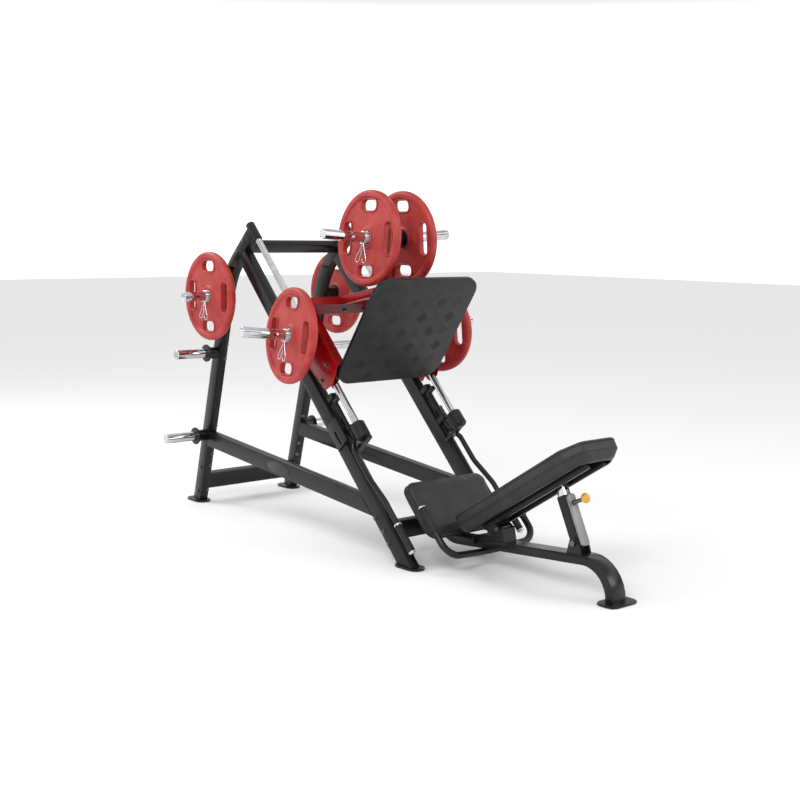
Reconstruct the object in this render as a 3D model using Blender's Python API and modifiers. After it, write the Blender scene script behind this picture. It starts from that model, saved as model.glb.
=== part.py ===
"""Plate-loaded 45 degree leg press: welded frame, carriage on guide rods, seat, weight plates.

Metres, +Z up. The origin is on the floor under the middle of the machine. The rear uprights are
at -X, the seat is at +X and a seated user faces -X, so -Y is the user's left.
Most of the machine is laid out along the two guide rods. A place there is given as (along, above,
side): along runs down the slope, above is square to it, and both are 0 where the rods cross X = 0.
"""

import math

import bmesh
import bpy
from mathutils import Matrix, Vector

# Driving dimensions
SLOPE = math.radians(46.0)
ROD_HEIGHT = 0.65
GAUGE = 0.30
GAP = 0.0003

ROD_RADIUS = 0.016
ROD_TOP, ROD_BOTTOM = -1.160, 0.135
COLLAR_TOP, COLLAR_BOTTOM, COLLAR_RADIUS = -1.177, -1.069, 0.023
BUMPER_TOP, BUMPER_BOTTOM, BUMPER_RADIUS = 0.076, 0.157, 0.035

TUBE_WIDTH = 0.05
CORNER_RADIUS = 0.006
RAIL_ABOVE, RAIL_DEPTH = -0.1375, 0.075
UPRIGHT_ALONG, UPRIGHT_DEPTH = -1.124, 0.063
UPRIGHT_FOOT_X, UPRIGHT_LEAN = -1.3193, 0.2587
UPRIGHT_BEND = 0.36
SIDE_TUBE_DEPTH, SIDE_TUBE_FALL = 0.08, -0.092
SIDE_TUBE_X, SIDE_TUBE_Z = -0.47, 0.2925
FOOT_THICKNESS, FOOT_LENGTH, FOOT_WIDTH = 0.010, 0.155, 0.085

BEAM_WIDTH, BEAM_DEPTH, BEAM_LEG_RADIUS = 0.08, 0.04, 0.1425
BEAM_LEG_X, BEAM_TOP_X = 1.3525, 1.21
BEAM_DIP = Vector((0.430, 0.0, 0.0885))
BEAM_FOOT_X, BEAM_FOOT_LENGTH, BEAM_FOOT_WIDTH = 1.360, 0.100, 0.165

CHANNEL_HALF, CHANNEL_WALL = 0.027, 0.004
CHANNEL_TOP, CHANNEL_END = 0.095, -0.578
CROSSBAR_ALONG, CROSSBAR_SIZE, CROSSBAR_DEPTH = -0.5235, 0.048, 0.070
FOOTPLATE_TILT = math.radians(12.5)
FOOTPLATE_ALONG, FOOTPLATE_ABOVE = -0.209, 0.2935
FOOTPLATE_HEIGHT, FOOTPLATE_WIDTH, FOOTPLATE_CORNER = 0.593, 0.622, 0.085
PAD_SHEET, BOARD_SHEET = 0.010, 0.012
ARM_SIDE, ARM_SIZE, ARM_RISE = 0.15, 0.04, math.radians(12.0)
ARM_FOOT_ALONG, ARM_FOOT_ABOVE = -0.5075, 0.185
POST_X, POST_TOP = -0.105, 1.478

SLEEVE_RADIUS, STUB_RADIUS, FLANGE_RADIUS, FLANGE_THICKNESS = 0.025, 0.030, 0.045, 0.008
PLATE_RADIUS, PLATE_THICKNESS, PLATE_BORE = 0.225, 0.036, 0.0258
GRIP_REACH = 0.154
STORAGE_HEIGHTS = {"top": 1.131, "middle": 0.830, "low": 0.378}
STORAGE_STUB, STORAGE_REACH = 0.055, 0.240

SEAT_FRONT, SEAT_REAR, SEAT_WIDTH, SEAT_THICKNESS = 0.432, 0.7225, 0.48, 0.048
SEAT_UNDERSIDE, SEAT_CORNER = -0.018, 0.055
SEAT_BOARD = 0.012
BACK_SLOPE = math.radians(32.0)
BACK_HINGE = Vector((0.715, 0.0, 0.190))
BACK_START, BACK_LENGTH, BACK_WIDTH, BACK_THICKNESS = -0.133, 0.818, 0.32, 0.050
BACK_UNDERSIDE, BACK_SHEET, BACK_RAIL_DEPTH, BACK_RAIL_SIDE = 0.071, 0.010, 0.052, 0.0485
BACK_SKIRT = 0.036  # how far the pad's rim hangs below the sheet it is fixed to
STRUT_FOOT = Vector((1.150, 0.0, 0.212))
STRUT_HEAD_ALONG, STRUT_HEAD_ABOVE = 0.407, 0.026
STRUT_SIZE, STRUT_WALL, STRUT_SLEEVE, STRUT_BAR_START = 0.050, 0.004, 0.200, 0.030
STRUT_PIN_RADIUS, STRUT_PIN_PLAY = 0.006, 0.0035
KNOB_ALONG, KNOB_SHANK = 0.158, 0.068
HANDLE_SIDE, HANDLE_ABOVE, HANDLE_RADIUS = 0.27, 0.082, 0.0155
HANDLE_TOP, HANDLE_FOOT, HANDLE_X, HANDLE_FLAT = 0.607, 0.858, 0.622, 0.05
LEVER_SIDE, LEVER_ABOVE, LEVER_RADIUS = 0.295, -0.068, 0.0125
LEVER_GUIDES = ((-0.140, -0.114), (0.045, 0.070))

BLACK = ("powder_coat_black", (0.018, 0.018, 0.020), 0.35, 0.0)
RED = ("powder_coat_red", (0.42, 0.004, 0.006), 0.32, 0.0)
CHROME = ("chrome", (0.80, 0.80, 0.82), 0.08, 1.0)
PLATE_RED = ("plate_rubber_red", (0.55, 0.10, 0.085), 0.55, 0.0)
RUBBER = ("rubber_black", (0.02, 0.02, 0.02), 0.7, 0.0)
VINYL = ("vinyl_grey", (0.045, 0.045, 0.048), 0.5, 0.0)
STEEL = ("brushed_steel", (0.55, 0.55, 0.56), 0.3, 1.0)
YELLOW = ("knob_yellow", (0.70, 0.42, 0.10), 0.35, 0.0)

DOWN = Vector((math.cos(SLOPE), 0.0, -math.sin(SLOPE)))
OUT = Vector((math.sin(SLOPE), 0.0, math.cos(SLOPE)))
SIDEWAYS = Vector((0.0, 1.0, 0.0))
UP = Vector((0.0, 0.0, 1.0))
SIDES = {"left": -1, "right": 1}


# Scene and object helpers
def clear_scene():
    for obj in list(bpy.data.objects):
        bpy.data.objects.remove(obj, do_unlink=True)


def new_collection(name):
    collection = bpy.data.collections.new(name)
    bpy.context.scene.collection.children.link(collection)
    return collection


def finish_material(finish):
    """The Principled material of a finish, made once."""
    name, colour, roughness, metallic = finish
    material = bpy.data.materials.get(name)
    if material is None:
        material = bpy.data.materials.new(name)
        material.use_nodes = True
        shader = material.node_tree.nodes["Principled BSDF"]
        shader.inputs["Base Color"].default_value = (*colour, 1.0)
        shader.inputs["Roughness"].default_value = roughness
        shader.inputs["Metallic"].default_value = metallic
        material.diffuse_color = (*colour, 1.0)
    return material


def place(name, mesh, finish, collection=None):
    obj = bpy.data.objects.new(name, mesh)
    (collection or PARTS).objects.link(obj)
    if finish:
        mesh.materials.clear()
        mesh.materials.append(finish_material(finish))
    return obj


def mesh_from(name, bm):
    bmesh.ops.recalc_face_normals(bm, faces=bm.faces[:])
    mesh = bpy.data.meshes.new(name)
    bm.to_mesh(mesh)
    bm.free()
    return mesh


def boolean(target, other, operation):
    """Cuts or joins another object, which becomes a hidden helper."""
    modifier = target.modifiers.new(f"{operation.lower()} {other.name}", "BOOLEAN")
    modifier.operation = operation
    modifier.solver = "EXACT"
    modifier.object = other
    for collection in list(other.users_collection):
        collection.objects.unlink(other)
    CUTTERS.objects.link(other)
    other.hide_render = True
    other.display_type = "WIRE"
    return target


def cut(target, *others):
    for other in others:
        boolean(target, other, "DIFFERENCE")
    return target


def join(target, *others):
    for other in others:
        boolean(target, other, "UNION")
    return target


def joint_empty(name, location):
    empty = bpy.data.objects.new(name, None)
    empty.location = location
    PARTS.objects.link(empty)
    return empty


def carry(empty, *objects):
    """Parents objects to an empty on their joint's axis, and leaves them where they are."""
    for obj in objects:
        obj.parent = empty
        obj.matrix_parent_inverse = Matrix.Translation(empty.location).inverted()


# Places and directions
def rail_point(along, above, side=0.0):
    return Vector((0.0, side, ROD_HEIGHT)) + DOWN * along + OUT * above


def axes(origin, x_axis, z_axis):
    """A matrix with its X and Z axes along two square directions."""
    x_axis = x_axis.normalized()
    z_axis = z_axis.normalized()
    turn = Matrix((x_axis, z_axis.cross(x_axis), z_axis)).transposed().to_4x4()
    return Matrix.Translation(origin) @ turn


def along_z(origin, direction):
    """A matrix with its Z axis along a direction."""
    turn = direction.to_track_quat("Z", "Y").to_matrix().to_4x4()
    return Matrix.Translation(origin) @ turn


def flat_meet(point, direction, other, other_direction):
    """Where two lines of the XZ plane meet."""
    across = Vector((-other_direction.z, 0.0, other_direction.x))
    run = (other - point).dot(across) / direction.dot(across)
    return point + direction * run


# Shapes
def bar(name, start, end, width, depth, up, finish, cuts=(), radius=CORNER_RADIUS):
    """A square-cut bar with rounded long edges, then cut at planes given as (point, outward)."""
    direction = (end - start).normalized()
    bm = bmesh.new()
    bmesh.ops.create_cube(bm, size=1.0)
    bmesh.ops.scale(bm, vec=((end - start).length, width, depth), verts=bm.verts[:])
    long_edges = [e for e in bm.edges if abs((e.verts[0].co - e.verts[1].co).normalized().x) > 0.9]
    bmesh.ops.bevel(bm, geom=long_edges, offset=radius, segments=2, profile=0.5, affect="EDGES")
    bmesh.ops.transform(bm, matrix=axes((start + end) / 2, direction, up), verts=bm.verts[:])
    for point, outward in cuts:
        geometry = bm.verts[:] + bm.edges[:] + bm.faces[:]
        made = bmesh.ops.bisect_plane(
            bm, geom=geometry, plane_co=point, plane_no=outward, clear_outer=True
        )
        edges = [item for item in made["geom_cut"] if isinstance(item, bmesh.types.BMEdge)]
        bmesh.ops.edgeloop_fill(bm, edges=edges)
    return place(name, mesh_from(name, bm), finish)


def outline_solid(name, outline, thickness, matrix, finish, edge=0.0):
    """A flat outline, extruded by its thickness about the plane and with its edges rounded off."""
    curve = bpy.data.curves.new(name, "CURVE")
    curve.dimensions = "2D"
    curve.fill_mode = "BOTH"
    curve.extrude = thickness / 2
    spline = curve.splines.new("POLY")
    spline.points.add(len(outline) - 1)
    for point, (x, y) in zip(spline.points, outline):
        point.co = (x, y, 0.0, 1.0)
    spline.use_cyclic_u = True
    solid = mesh_of_curve(name, curve, matrix, finish)
    if edge:
        bevel = solid.modifiers.new("rounded edges", "BEVEL")
        bevel.width = edge
        bevel.segments = 2
        bevel.limit_method = "ANGLE"
        bevel.angle_limit = math.radians(50)
    return solid


def mesh_of_curve(name, curve, matrix, finish):
    """The mesh of a curve, its caps welded on, as an object."""
    guide = bpy.data.objects.new(name, curve)
    bpy.context.scene.collection.objects.link(guide)
    bpy.context.view_layer.update()
    graph = bpy.context.evaluated_depsgraph_get()
    mesh = bpy.data.meshes.new_from_object(guide.evaluated_get(graph))
    bpy.data.objects.remove(guide, do_unlink=True)
    bm = bmesh.new()
    bm.from_mesh(mesh)
    bmesh.ops.remove_doubles(bm, verts=bm.verts[:], dist=0.00005)
    bmesh.ops.recalc_face_normals(bm, faces=bm.faces[:])
    bm.to_mesh(mesh)
    bm.free()
    solid = place(name, mesh, finish)
    solid.matrix_world = matrix
    return solid


def tube(name, points, radius, finish, resolution=2):
    """A round bar along a list of points."""
    curve = bpy.data.curves.new(name, "CURVE")
    curve.dimensions = "3D"
    curve.bevel_depth = radius
    curve.bevel_resolution = resolution
    curve.use_fill_caps = True
    spline = curve.splines.new("POLY")
    spline.points.add(len(points) - 1)
    for point, place_at in zip(spline.points, points):
        point.co = (*place_at, 1.0)
    solid = mesh_of_curve(name, curve, Matrix.Identity(4), finish)
    solid.data.shade_smooth()
    solid.data.set_sharp_from_angle(angle=math.radians(40))
    return solid


def turned(name, profile, matrix, finish, steps=20, closed=False):
    """A turned solid. The profile is (radius, height), down its outer side."""
    count = len(profile)
    edges = [(i, i + 1) for i in range(count - 1)]
    if closed:
        edges.append((count - 1, 0))
    mesh = bpy.data.meshes.new(name)
    mesh.from_pydata([(radius, 0.0, height) for radius, height in profile], edges, [])
    solid = place(name, mesh, finish)
    solid.matrix_world = matrix
    screw = solid.modifiers.new("turned", "SCREW")
    screw.steps = steps
    screw.render_steps = steps
    screw.use_merge_vertices = True
    screw.merge_threshold = 0.00001
    screw.use_smooth_shade = False
    return solid


def ring_profile(outer, inner, top, bottom, chamfer):
    return [
        (outer - chamfer, top),
        (outer, top - chamfer),
        (outer, bottom + chamfer),
        (outer - chamfer, bottom),
        (inner, bottom),
        (inner, top),
    ]


def rod_profile(radius, top, bottom, chamfer):
    return [
        (0.0, top),
        (radius - chamfer, top),
        (radius, top - chamfer),
        (radius, bottom + chamfer),
        (radius - chamfer, bottom),
        (0.0, bottom),
    ]


def rounded_rectangle(length, width, radius, steps=4):
    """The outline of a rectangle with round corners, about the origin."""
    points = []
    for quarter, (sx, sy) in enumerate(((1, 1), (-1, 1), (-1, -1), (1, -1))):
        centre_x = sx * (length / 2 - radius)
        centre_y = sy * (width / 2 - radius)
        for step in range(steps + 1):
            angle = math.radians(90 * (quarter + step / steps))
            points.append((centre_x + radius * math.cos(angle), centre_y + radius * math.sin(angle)))
    return points


def rounded_path(points, radii, steps=6):
    """A path through points with an arc of each radius at each inner point."""
    path = [points[0]]
    for before, corner, after, radius in zip(points, points[1:], points[2:], radii):
        into = (corner - before).normalized()
        away = (after - corner).normalized()
        turn = into.angle(away)
        reach = radius * math.tan(turn / 2)
        centre = corner + (away - into).normalized() * radius / math.cos(turn / 2)
        first = corner - into * reach - centre
        axis = into.cross(away)
        for step in range(steps + 1):
            path.append(centre + Matrix.Rotation(turn * step / steps, 3, axis) @ first)
    path.append(points[-1])
    return path


def bent_bar(name, path, width, depth, side, finish, edge=0.004):
    """A rectangular bar that follows a path in the XZ plane."""
    left = []
    right = []
    for index, point in enumerate(path):
        before = path[max(index - 1, 0)]
        after = path[min(index + 1, len(path) - 1)]
        direction = (after - before).normalized()
        across = Vector((-direction.z, 0.0, direction.x)) * depth / 2
        left.append(point + across)
        right.append(point - across)
    outline = [(point.x, point.z) for point in left + right[::-1]]
    stand = axes(Vector((0.0, side, 0.0)), Vector((1, 0, 0)), Vector((0, -1, 0)))
    return outline_solid(name, outline, width, stand, finish, edge)


def side_plate(name, outline, thickness, side, finish, edge=0.0):
    """A plate that stands in the rail's own plane. Its outline is (along, above)."""
    stand = axes(rail_point(0.0, 0.0, side), DOWN, -SIDEWAYS)
    return outline_solid(name, outline, thickness, stand, finish, edge)


def rail_box(name, along, above, side, finish, radius=0.002):
    """A box square to the rails, from its (low, high) on each axis."""
    middle = [(low + high) / 2 for low, high in (along, above, side)]
    start = rail_point(along[0], middle[1], middle[2])
    end = rail_point(along[1], middle[1], middle[2])
    return bar(name, start, end, side[1] - side[0], above[1] - above[0], OUT, finish, radius=radius)


# Frame
def upright(hand, sign):
    """A leaning rear upright, bent square to the rail at its top, with the rod's collar and a foot."""
    foot = Vector((UPRIGHT_FOOT_X, 0.0, 0.0))
    lean = Vector((UPRIGHT_LEAN, 0.0, 1.0)).normalized()
    head = rail_point(UPRIGHT_ALONG, 0.0)
    corner = flat_meet(foot, lean, head, OUT)
    path = rounded_path([foot + lean * 0.0088, corner, head], [UPRIGHT_BEND])
    post = bent_bar(f"{hand}_upright", path, TUBE_WIDTH, UPRIGHT_DEPTH, sign * GAUGE, BLACK)
    axis = along_z(rail_point(0.0, 0.0, sign * GAUGE), -DOWN)
    ring = rod_profile(COLLAR_RADIUS, -COLLAR_TOP, -COLLAR_BOTTOM, 0.003)
    collar = turned(f"{hand}_rod_collar", ring, axis, None)
    bore = rod_profile(ROD_RADIUS + 2 * GAP, -ROD_TOP + GAP, -COLLAR_BOTTOM - 0.05, 0.0)
    foot = foot_plate(f"{hand}_rear_foot", Vector((-1.3325, sign * GAUGE, 0.0)))
    join(post, collar, foot)
    return cut(post, turned(f"{hand}_rod_socket", bore, axis, None))


def foot_plate(name, centre, length=FOOT_LENGTH, width=FOOT_WIDTH):
    outline = rounded_rectangle(length, width, width / 2 - 0.002, 5)
    middle = Matrix.Translation(centre + UP * FOOT_THICKNESS / 2)
    return outline_solid(name, outline, FOOT_THICKNESS, middle, BLACK)


def rail(hand, sign):
    """A main rail with its foot plate, the bumper's bracket, the lever's guides and a slotted box."""
    side = sign * GAUGE
    top = UPRIGHT_ALONG + UPRIGHT_DEPTH / 2 + GAP
    start = rail_point(top, RAIL_ABOVE, side)
    end = rail_point(0.86, RAIL_ABOVE, side)
    floor = (Vector((0.0, 0.0, 0.004)), -UP)
    beam = bar(f"{hand}_rail", start, end, TUBE_WIDTH, RAIL_DEPTH, OUT, BLACK, [floor])
    foot = foot_plate(f"{hand}_front_foot", rail_floor_point(side))
    inner = sorted((side - sign * 0.030, side))
    bracket = rail_box(
        f"{hand}_bumper_bracket", (BUMPER_BOTTOM + GAP, 0.172), (-0.11, 0.020), inner, BLACK
    )
    join(beam, foot, bracket, lock_box(hand, sign))
    for index, along in enumerate(LEVER_GUIDES):
        join(beam, lever_guide(f"{hand}_lever_guide_{index}", along, sign * LEVER_SIDE))
    return beam


def lever_guide(name, along, side):
    """A block on top of the rail, bored for the lock lever's shaft."""
    block = rail_box(name, along, (-0.11, -0.048), (side - 0.0165, side + 0.0165), BLACK)
    bore = turned(
        f"{name}_bore",
        rod_profile(LEVER_RADIUS + 0.001, 0.05, -0.05, 0.0),
        along_z(rail_point(sum(along) / 2, LEVER_ABOVE, side), DOWN),
        None,
        16,
    )
    return cut(block, bore)


def lock_box(hand, sign):
    """The slotted plate on the rail's outer face, beside the lever's shaft."""
    side = sign * GAUGE
    outer = sorted((side + sign * 0.020, side + sign * 0.035))
    plate = rail_box(f"{hand}_lock_box", (-0.022, 0.112), (-0.160, -0.074), outer, BLACK)
    slot_sides = sorted((side + sign * 0.0265, side + sign * 0.06))
    slot = rail_box(f"{hand}_lock_slot", (0.030, 0.100), (-0.128, -0.116), slot_sides, None)
    return cut(plate, slot)


def rail_floor_point(side):
    """Where the rail's middle line reaches the floor."""
    middle = rail_point(0.0, RAIL_ABOVE)
    run = middle.z / math.sin(SLOPE)
    return Vector((middle.x + run * math.cos(SLOPE), side, 0.0))


def side_tube(hand, sign):
    """The low tube from an upright to the underside of its rail."""
    side = sign * GAUGE
    fall = Vector((1.0, 0.0, SIDE_TUBE_FALL)).normalized()
    middle = Vector((SIDE_TUBE_X, side, SIDE_TUBE_Z))
    lean = Vector((UPRIGHT_LEAN, 0.0, 1.0)).normalized()
    face = Vector((lean.z, 0.0, -lean.x))
    rear = (Vector((UPRIGHT_FOOT_X, 0.0, 0.0)) + face * (UPRIGHT_DEPTH / 2 + GAP), -face)
    front = (rail_point(0.0, RAIL_ABOVE - RAIL_DEPTH / 2 - GAP), OUT)
    return bar(
        f"{hand}_side_tube",
        middle - fall * 0.9,
        middle + fall * 0.9,
        TUBE_WIDTH,
        SIDE_TUBE_DEPTH,
        fall.cross(SIDEWAYS) * -1,
        BLACK,
        [rear, front],
    )


def crossmembers():
    """The three tubes that join the two side frames."""
    inner = GAUGE - TUBE_WIDTH / 2 - GAP
    lean = Vector((UPRIGHT_LEAN, 0.0, 1.0)).normalized()
    spots = (
        ("rear_crossmember", Vector((UPRIGHT_FOOT_X, 0, 0)) + lean * 0.121, 0.05, 0.085, lean),
        ("front_crossmember", Vector((0.304, 0.0, 0.1435)), 0.05, 0.085, UP),
        ("top_crossmember", rail_point(-1.114, -0.094), 0.034, 0.066, OUT),
    )
    for name, centre, width, depth, up in spots:
        across = SIDEWAYS * inner
        bar(name, centre - across, centre + across, width, depth, up, BLACK)


def beam_top(x):
    """The height of the seat beam's top face, between its dip and its leg."""
    leg_top = BEAM_LEG_RADIUS + 0.010
    rise = (leg_top - BEAM_DIP.z) / (BEAM_TOP_X - BEAM_DIP.x)
    return BEAM_DIP.z + (x - BEAM_DIP.x) * rise + BEAM_DEPTH / 2


def seat_beam():
    """The beam from the front crossmember to the curved leg under the head of the back pad."""
    leg_top = Vector((BEAM_TOP_X, 0.0, BEAM_LEG_RADIUS + 0.010))
    start = Vector((0.3385, 0.0, 0.125))
    path = rounded_path([start, BEAM_DIP, leg_top], [0.15], 4)
    steps = 8
    for step in range(1, steps + 1):
        angle = math.radians(90 * step / steps)
        reach = Vector((math.sin(angle), 0.0, math.cos(angle) - 1.0)) * BEAM_LEG_RADIUS
        path.append(leg_top + reach)
    path[-1].z = 0.004
    beam = bent_bar("seat_beam", path, BEAM_WIDTH, BEAM_DEPTH, 0.0, BLACK)
    foot = outline_solid(
        "beam_foot",
        rounded_rectangle(BEAM_FOOT_LENGTH, BEAM_FOOT_WIDTH, 0.03, 2),
        FOOT_THICKNESS,
        Matrix.Translation(Vector((BEAM_FOOT_X, 0.0, FOOT_THICKNESS / 2))),
        BLACK,
    )
    stop = bar(
        "seat_stop",
        Vector((0.580, 0.0, 0.10)),
        Vector((0.580, 0.0, 0.135)),
        0.11,
        0.006,
        Vector((1, 0, 0)),
        None,
        radius=0.001,
    )
    join(beam, foot, stop, pedestal_front())
    for hand, sign in SIDES.items():
        join(beam, strut_ear(hand, sign), hinge_cheek(hand, sign), seat_gusset(hand, sign))
    return beam


def upright_plate(name, outline, thickness, side, finish):
    """A plate that stands along the machine. Its outline is (X, Z)."""
    stand = axes(Vector((0.0, side, 0.0)), Vector((1, 0, 0)), -SIDEWAYS)
    return outline_solid(name, outline, thickness, stand, finish)


def seat_gusset(hand, sign):
    """A gusset from the seat beam up to the seat board."""
    above = SEAT_UNDERSIDE - SEAT_BOARD - 2 * GAP
    high = rail_point(0.50, above)
    low = rail_point(0.655, above)
    outline = [(high.x, high.z), (low.x, low.z), (0.470, 0.098), (0.400, 0.098), (0.350, 0.125)]
    return upright_plate(f"{hand}_seat_gusset", outline, 0.006, sign * 0.030, BLACK)


def strut_ear(hand, sign):
    """One of the two ears that hold the foot of the strut."""
    x, z = STRUT_FOOT.x, STRUT_FOOT.z
    base = beam_top(x) - 0.015
    outline = [(x - 0.040, base), (x + 0.046, base), (x + 0.024, z)]
    outline += [(x + 0.024 * math.cos(a), z + 0.024 * math.sin(a)) for a in arc(15, 165, 4)]
    outline.append((x - 0.024, z))
    ear = upright_plate(f"{hand}_strut_ear", outline, 0.008, sign * 0.0305, BLACK)
    return cut(ear, pin_hole(f"{hand}_ear_hole", STRUT_FOOT, 0.0082))


def hinge_cheek(hand, sign):
    """One of the two cheeks of the pedestal that carries the back pad's hinge."""
    x, z = BACK_HINGE.x, BACK_HINGE.z
    base = beam_top(x) - 0.012
    outline = [(x - 0.048, base - 0.004), (x + 0.046, base + 0.003), (x + 0.030, z + 0.006)]
    outline += [(x + 0.020 * math.cos(a), z + 0.018 * math.sin(a)) for a in arc(30, 180, 5)]
    cheek = upright_plate(f"{hand}_hinge_cheek", outline, 0.008, sign * 0.0335, BLACK)
    return cut(cheek, pin_hole(f"{hand}_cheek_hole", BACK_HINGE, 0.0075))


def pedestal_front():
    """The plate between the two cheeks, on the side of the strut."""
    low = Vector((BACK_HINGE.x + 0.0415, 0.0, beam_top(BACK_HINGE.x) - 0.004))
    high = Vector((BACK_HINGE.x + 0.0268, 0.0, BACK_HINGE.z + 0.002))
    facing = SIDEWAYS.cross(high - low).normalized()
    return bar("pedestal_front", low, high, 0.067, 0.006, facing, None, radius=0.001)


def arc(first, last, steps):
    """Angles in radians from one number of degrees to another."""
    return [math.radians(first + (last - first) * step / steps) for step in range(steps + 1)]


def guide(hand, sign):
    """A chrome guide rod and the bumper round its foot."""
    side = sign * GAUGE
    axis = along_z(rail_point(0.0, 0.0, side), -DOWN)
    turned(f"{hand}_guide_rod", rod_profile(ROD_RADIUS, -ROD_TOP, -ROD_BOTTOM, 0.002), axis, CHROME)
    bore = ROD_RADIUS + 2 * GAP
    bumper = [
        (BUMPER_RADIUS - 0.006, -BUMPER_TOP),
        (BUMPER_RADIUS, -BUMPER_TOP - 0.006),
        (BUMPER_RADIUS, -BUMPER_BOTTOM + 0.006),
        (BUMPER_RADIUS - 0.006, -BUMPER_BOTTOM),
        (0.0, -BUMPER_BOTTOM),
        (0.0, -ROD_BOTTOM - GAP),
        (bore, -ROD_BOTTOM - GAP),
        (bore, -BUMPER_TOP),
    ]
    turned(f"{hand}_bumper", bumper, axis, RUBBER, closed=True)


# Horns and weights
def horn(name, base, direction, stub, reach):
    """A weight horn: a stub, a round flange and a chrome sleeve, as one turned piece."""
    flange = stub + FLANGE_THICKNESS
    profile = [
        (0.0, reach),
        (SLEEVE_RADIUS, reach),
        (SLEEVE_RADIUS, flange),
        (FLANGE_RADIUS, flange),
        (FLANGE_RADIUS, stub),
        (STUB_RADIUS, stub),
        (STUB_RADIUS, 0.0),
        (0.0, 0.0),
    ]
    return turned(name, profile, along_z(base, direction), CHROME, 16)


def grip_cutter(name, matrix):
    """The four grip holes of a weight plate, as one cutter."""
    bm = bmesh.new()
    for quarter in range(4):
        tall = quarter % 2 == 0
        size = (0.040, 0.120, 0.1) if tall else (0.048, 0.084, 0.1)
        made = bmesh.ops.create_cube(bm, size=1.0)
        bmesh.ops.scale(bm, vec=size, verts=made["verts"])
        edges = {e for v in made["verts"] for e in v.link_edges}
        edges = [e for e in edges if abs((e.verts[0].co - e.verts[1].co).normalized().z) > 0.9]
        beveled = bmesh.ops.bevel(
            bm, geom=edges, offset=0.016, segments=2, profile=0.5, affect="EDGES"
        )
        verts = {v for face in beveled["faces"] for v in face.verts}
        turn = Matrix.Rotation(math.radians(90 * quarter), 4, "Z")
        shift = turn @ Matrix.Translation((GRIP_REACH, 0.0, 0.0))
        bmesh.ops.transform(bm, matrix=shift, verts=list(verts))
    cutter = place(name, mesh_from(name, bm), None)
    cutter.matrix_world = matrix
    return cutter


def weight(name, base, direction, offset):
    """A rubber-coated weight plate on a horn, with four grip holes."""
    half = PLATE_THICKNESS / 2
    profile = ring_profile(PLATE_RADIUS, PLATE_BORE, half, -half, 0.010)
    direction = direction.normalized()
    centre = base + direction * (offset + half)
    stand = upright_axes(centre, direction)
    plate = turned(name, profile, stand, PLATE_RED, 28, closed=True)
    return cut(plate, grip_cutter(f"{name}_grips", stand))


def upright_axes(centre, direction):
    """A matrix with Z along a sideways axis and Y as near up as it can be."""
    level = UP.cross(direction).normalized()
    return axes(centre, level, direction)


def clip(name, base, direction, offset):
    """A spring clip: the coil round the sleeve and the two handles below it."""
    direction = direction.normalized()
    stand = upright_axes(base + direction * (offset + 0.013), direction)
    coil = turned(
        name, ring_profile(0.0325, SLEEVE_RADIUS + 0.001, 0.012, -0.012, 0.002), stand, STEEL, 16,
        closed=True,
    )
    for index, (angle, lift) in enumerate(((-80, 0.006), (-112, -0.006))):
        turn = math.radians(angle)
        spoke = Vector((math.cos(turn), math.sin(turn), 0.0))
        ends = [stand @ (spoke * reach + Vector((0, 0, lift))) for reach in (0.029, 0.105)]
        join(coil, bar(f"{name}_handle_{index}", *ends, 0.016, 0.006, direction, None, radius=0.001))
    return coil


def loaded_horn(name, base, direction, stub, reach, loads, parent=None):
    """A horn with a weight plate and a clip, both free to slide off along it."""
    carrier = horn(f"{name}_horn", base, direction, stub, reach)
    if parent:
        carry(parent, carrier)
    if not loads:
        return
    start = stub + FLANGE_THICKNESS + 2 * GAP
    slide = joint_empty(f"{name}_plate_slide", base)
    plate = weight(f"{name}_plate", base, direction, start)
    fastener = clip(f"{name}_clip", base, direction, start + PLATE_THICKNESS + 2 * GAP)
    carry(slide, plate, fastener)
    if parent:
        slide.parent = parent
        slide.matrix_parent_inverse = Matrix.Translation(parent.location).inverted()


def storage_horns(hand, sign):
    """Three horns on the outer face of an upright. The top one holds a spare plate."""
    for level, height in STORAGE_HEIGHTS.items():
        x = UPRIGHT_FOOT_X + UPRIGHT_LEAN * height
        base = Vector((x, sign * (GAUGE + TUBE_WIDTH / 2 + GAP), height))
        loaded_horn(
            f"{hand}_storage_{level}",
            base,
            SIDEWAYS * sign,
            STORAGE_STUB,
            STORAGE_REACH,
            level == "top",
        )


# Carriage
def footplate_frame(depth):
    """The matrix of the footplate, with its X up the plate and its Z out towards the user."""
    up_plate = OUT * math.cos(FOOTPLATE_TILT) - DOWN * math.sin(FOOTPLATE_TILT)
    facing = DOWN * math.cos(FOOTPLATE_TILT) + OUT * math.sin(FOOTPLATE_TILT)
    face = rail_point(FOOTPLATE_ALONG, FOOTPLATE_ABOVE)
    return axes(face - facing * depth, up_plate, facing)


def footplate():
    """The rubber tread sheet on its steel board."""
    outline = rounded_rectangle(FOOTPLATE_HEIGHT, FOOTPLATE_WIDTH, FOOTPLATE_CORNER, 6)
    tread = outline_solid(
        "footplate_tread", outline, PAD_SHEET, footplate_frame(PAD_SHEET / 2), RUBBER
    )
    depth = PAD_SHEET + GAP + BOARD_SHEET / 2
    board = outline_solid("footplate_board", outline, BOARD_SHEET, footplate_frame(depth), BLACK)
    return tread, board


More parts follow.
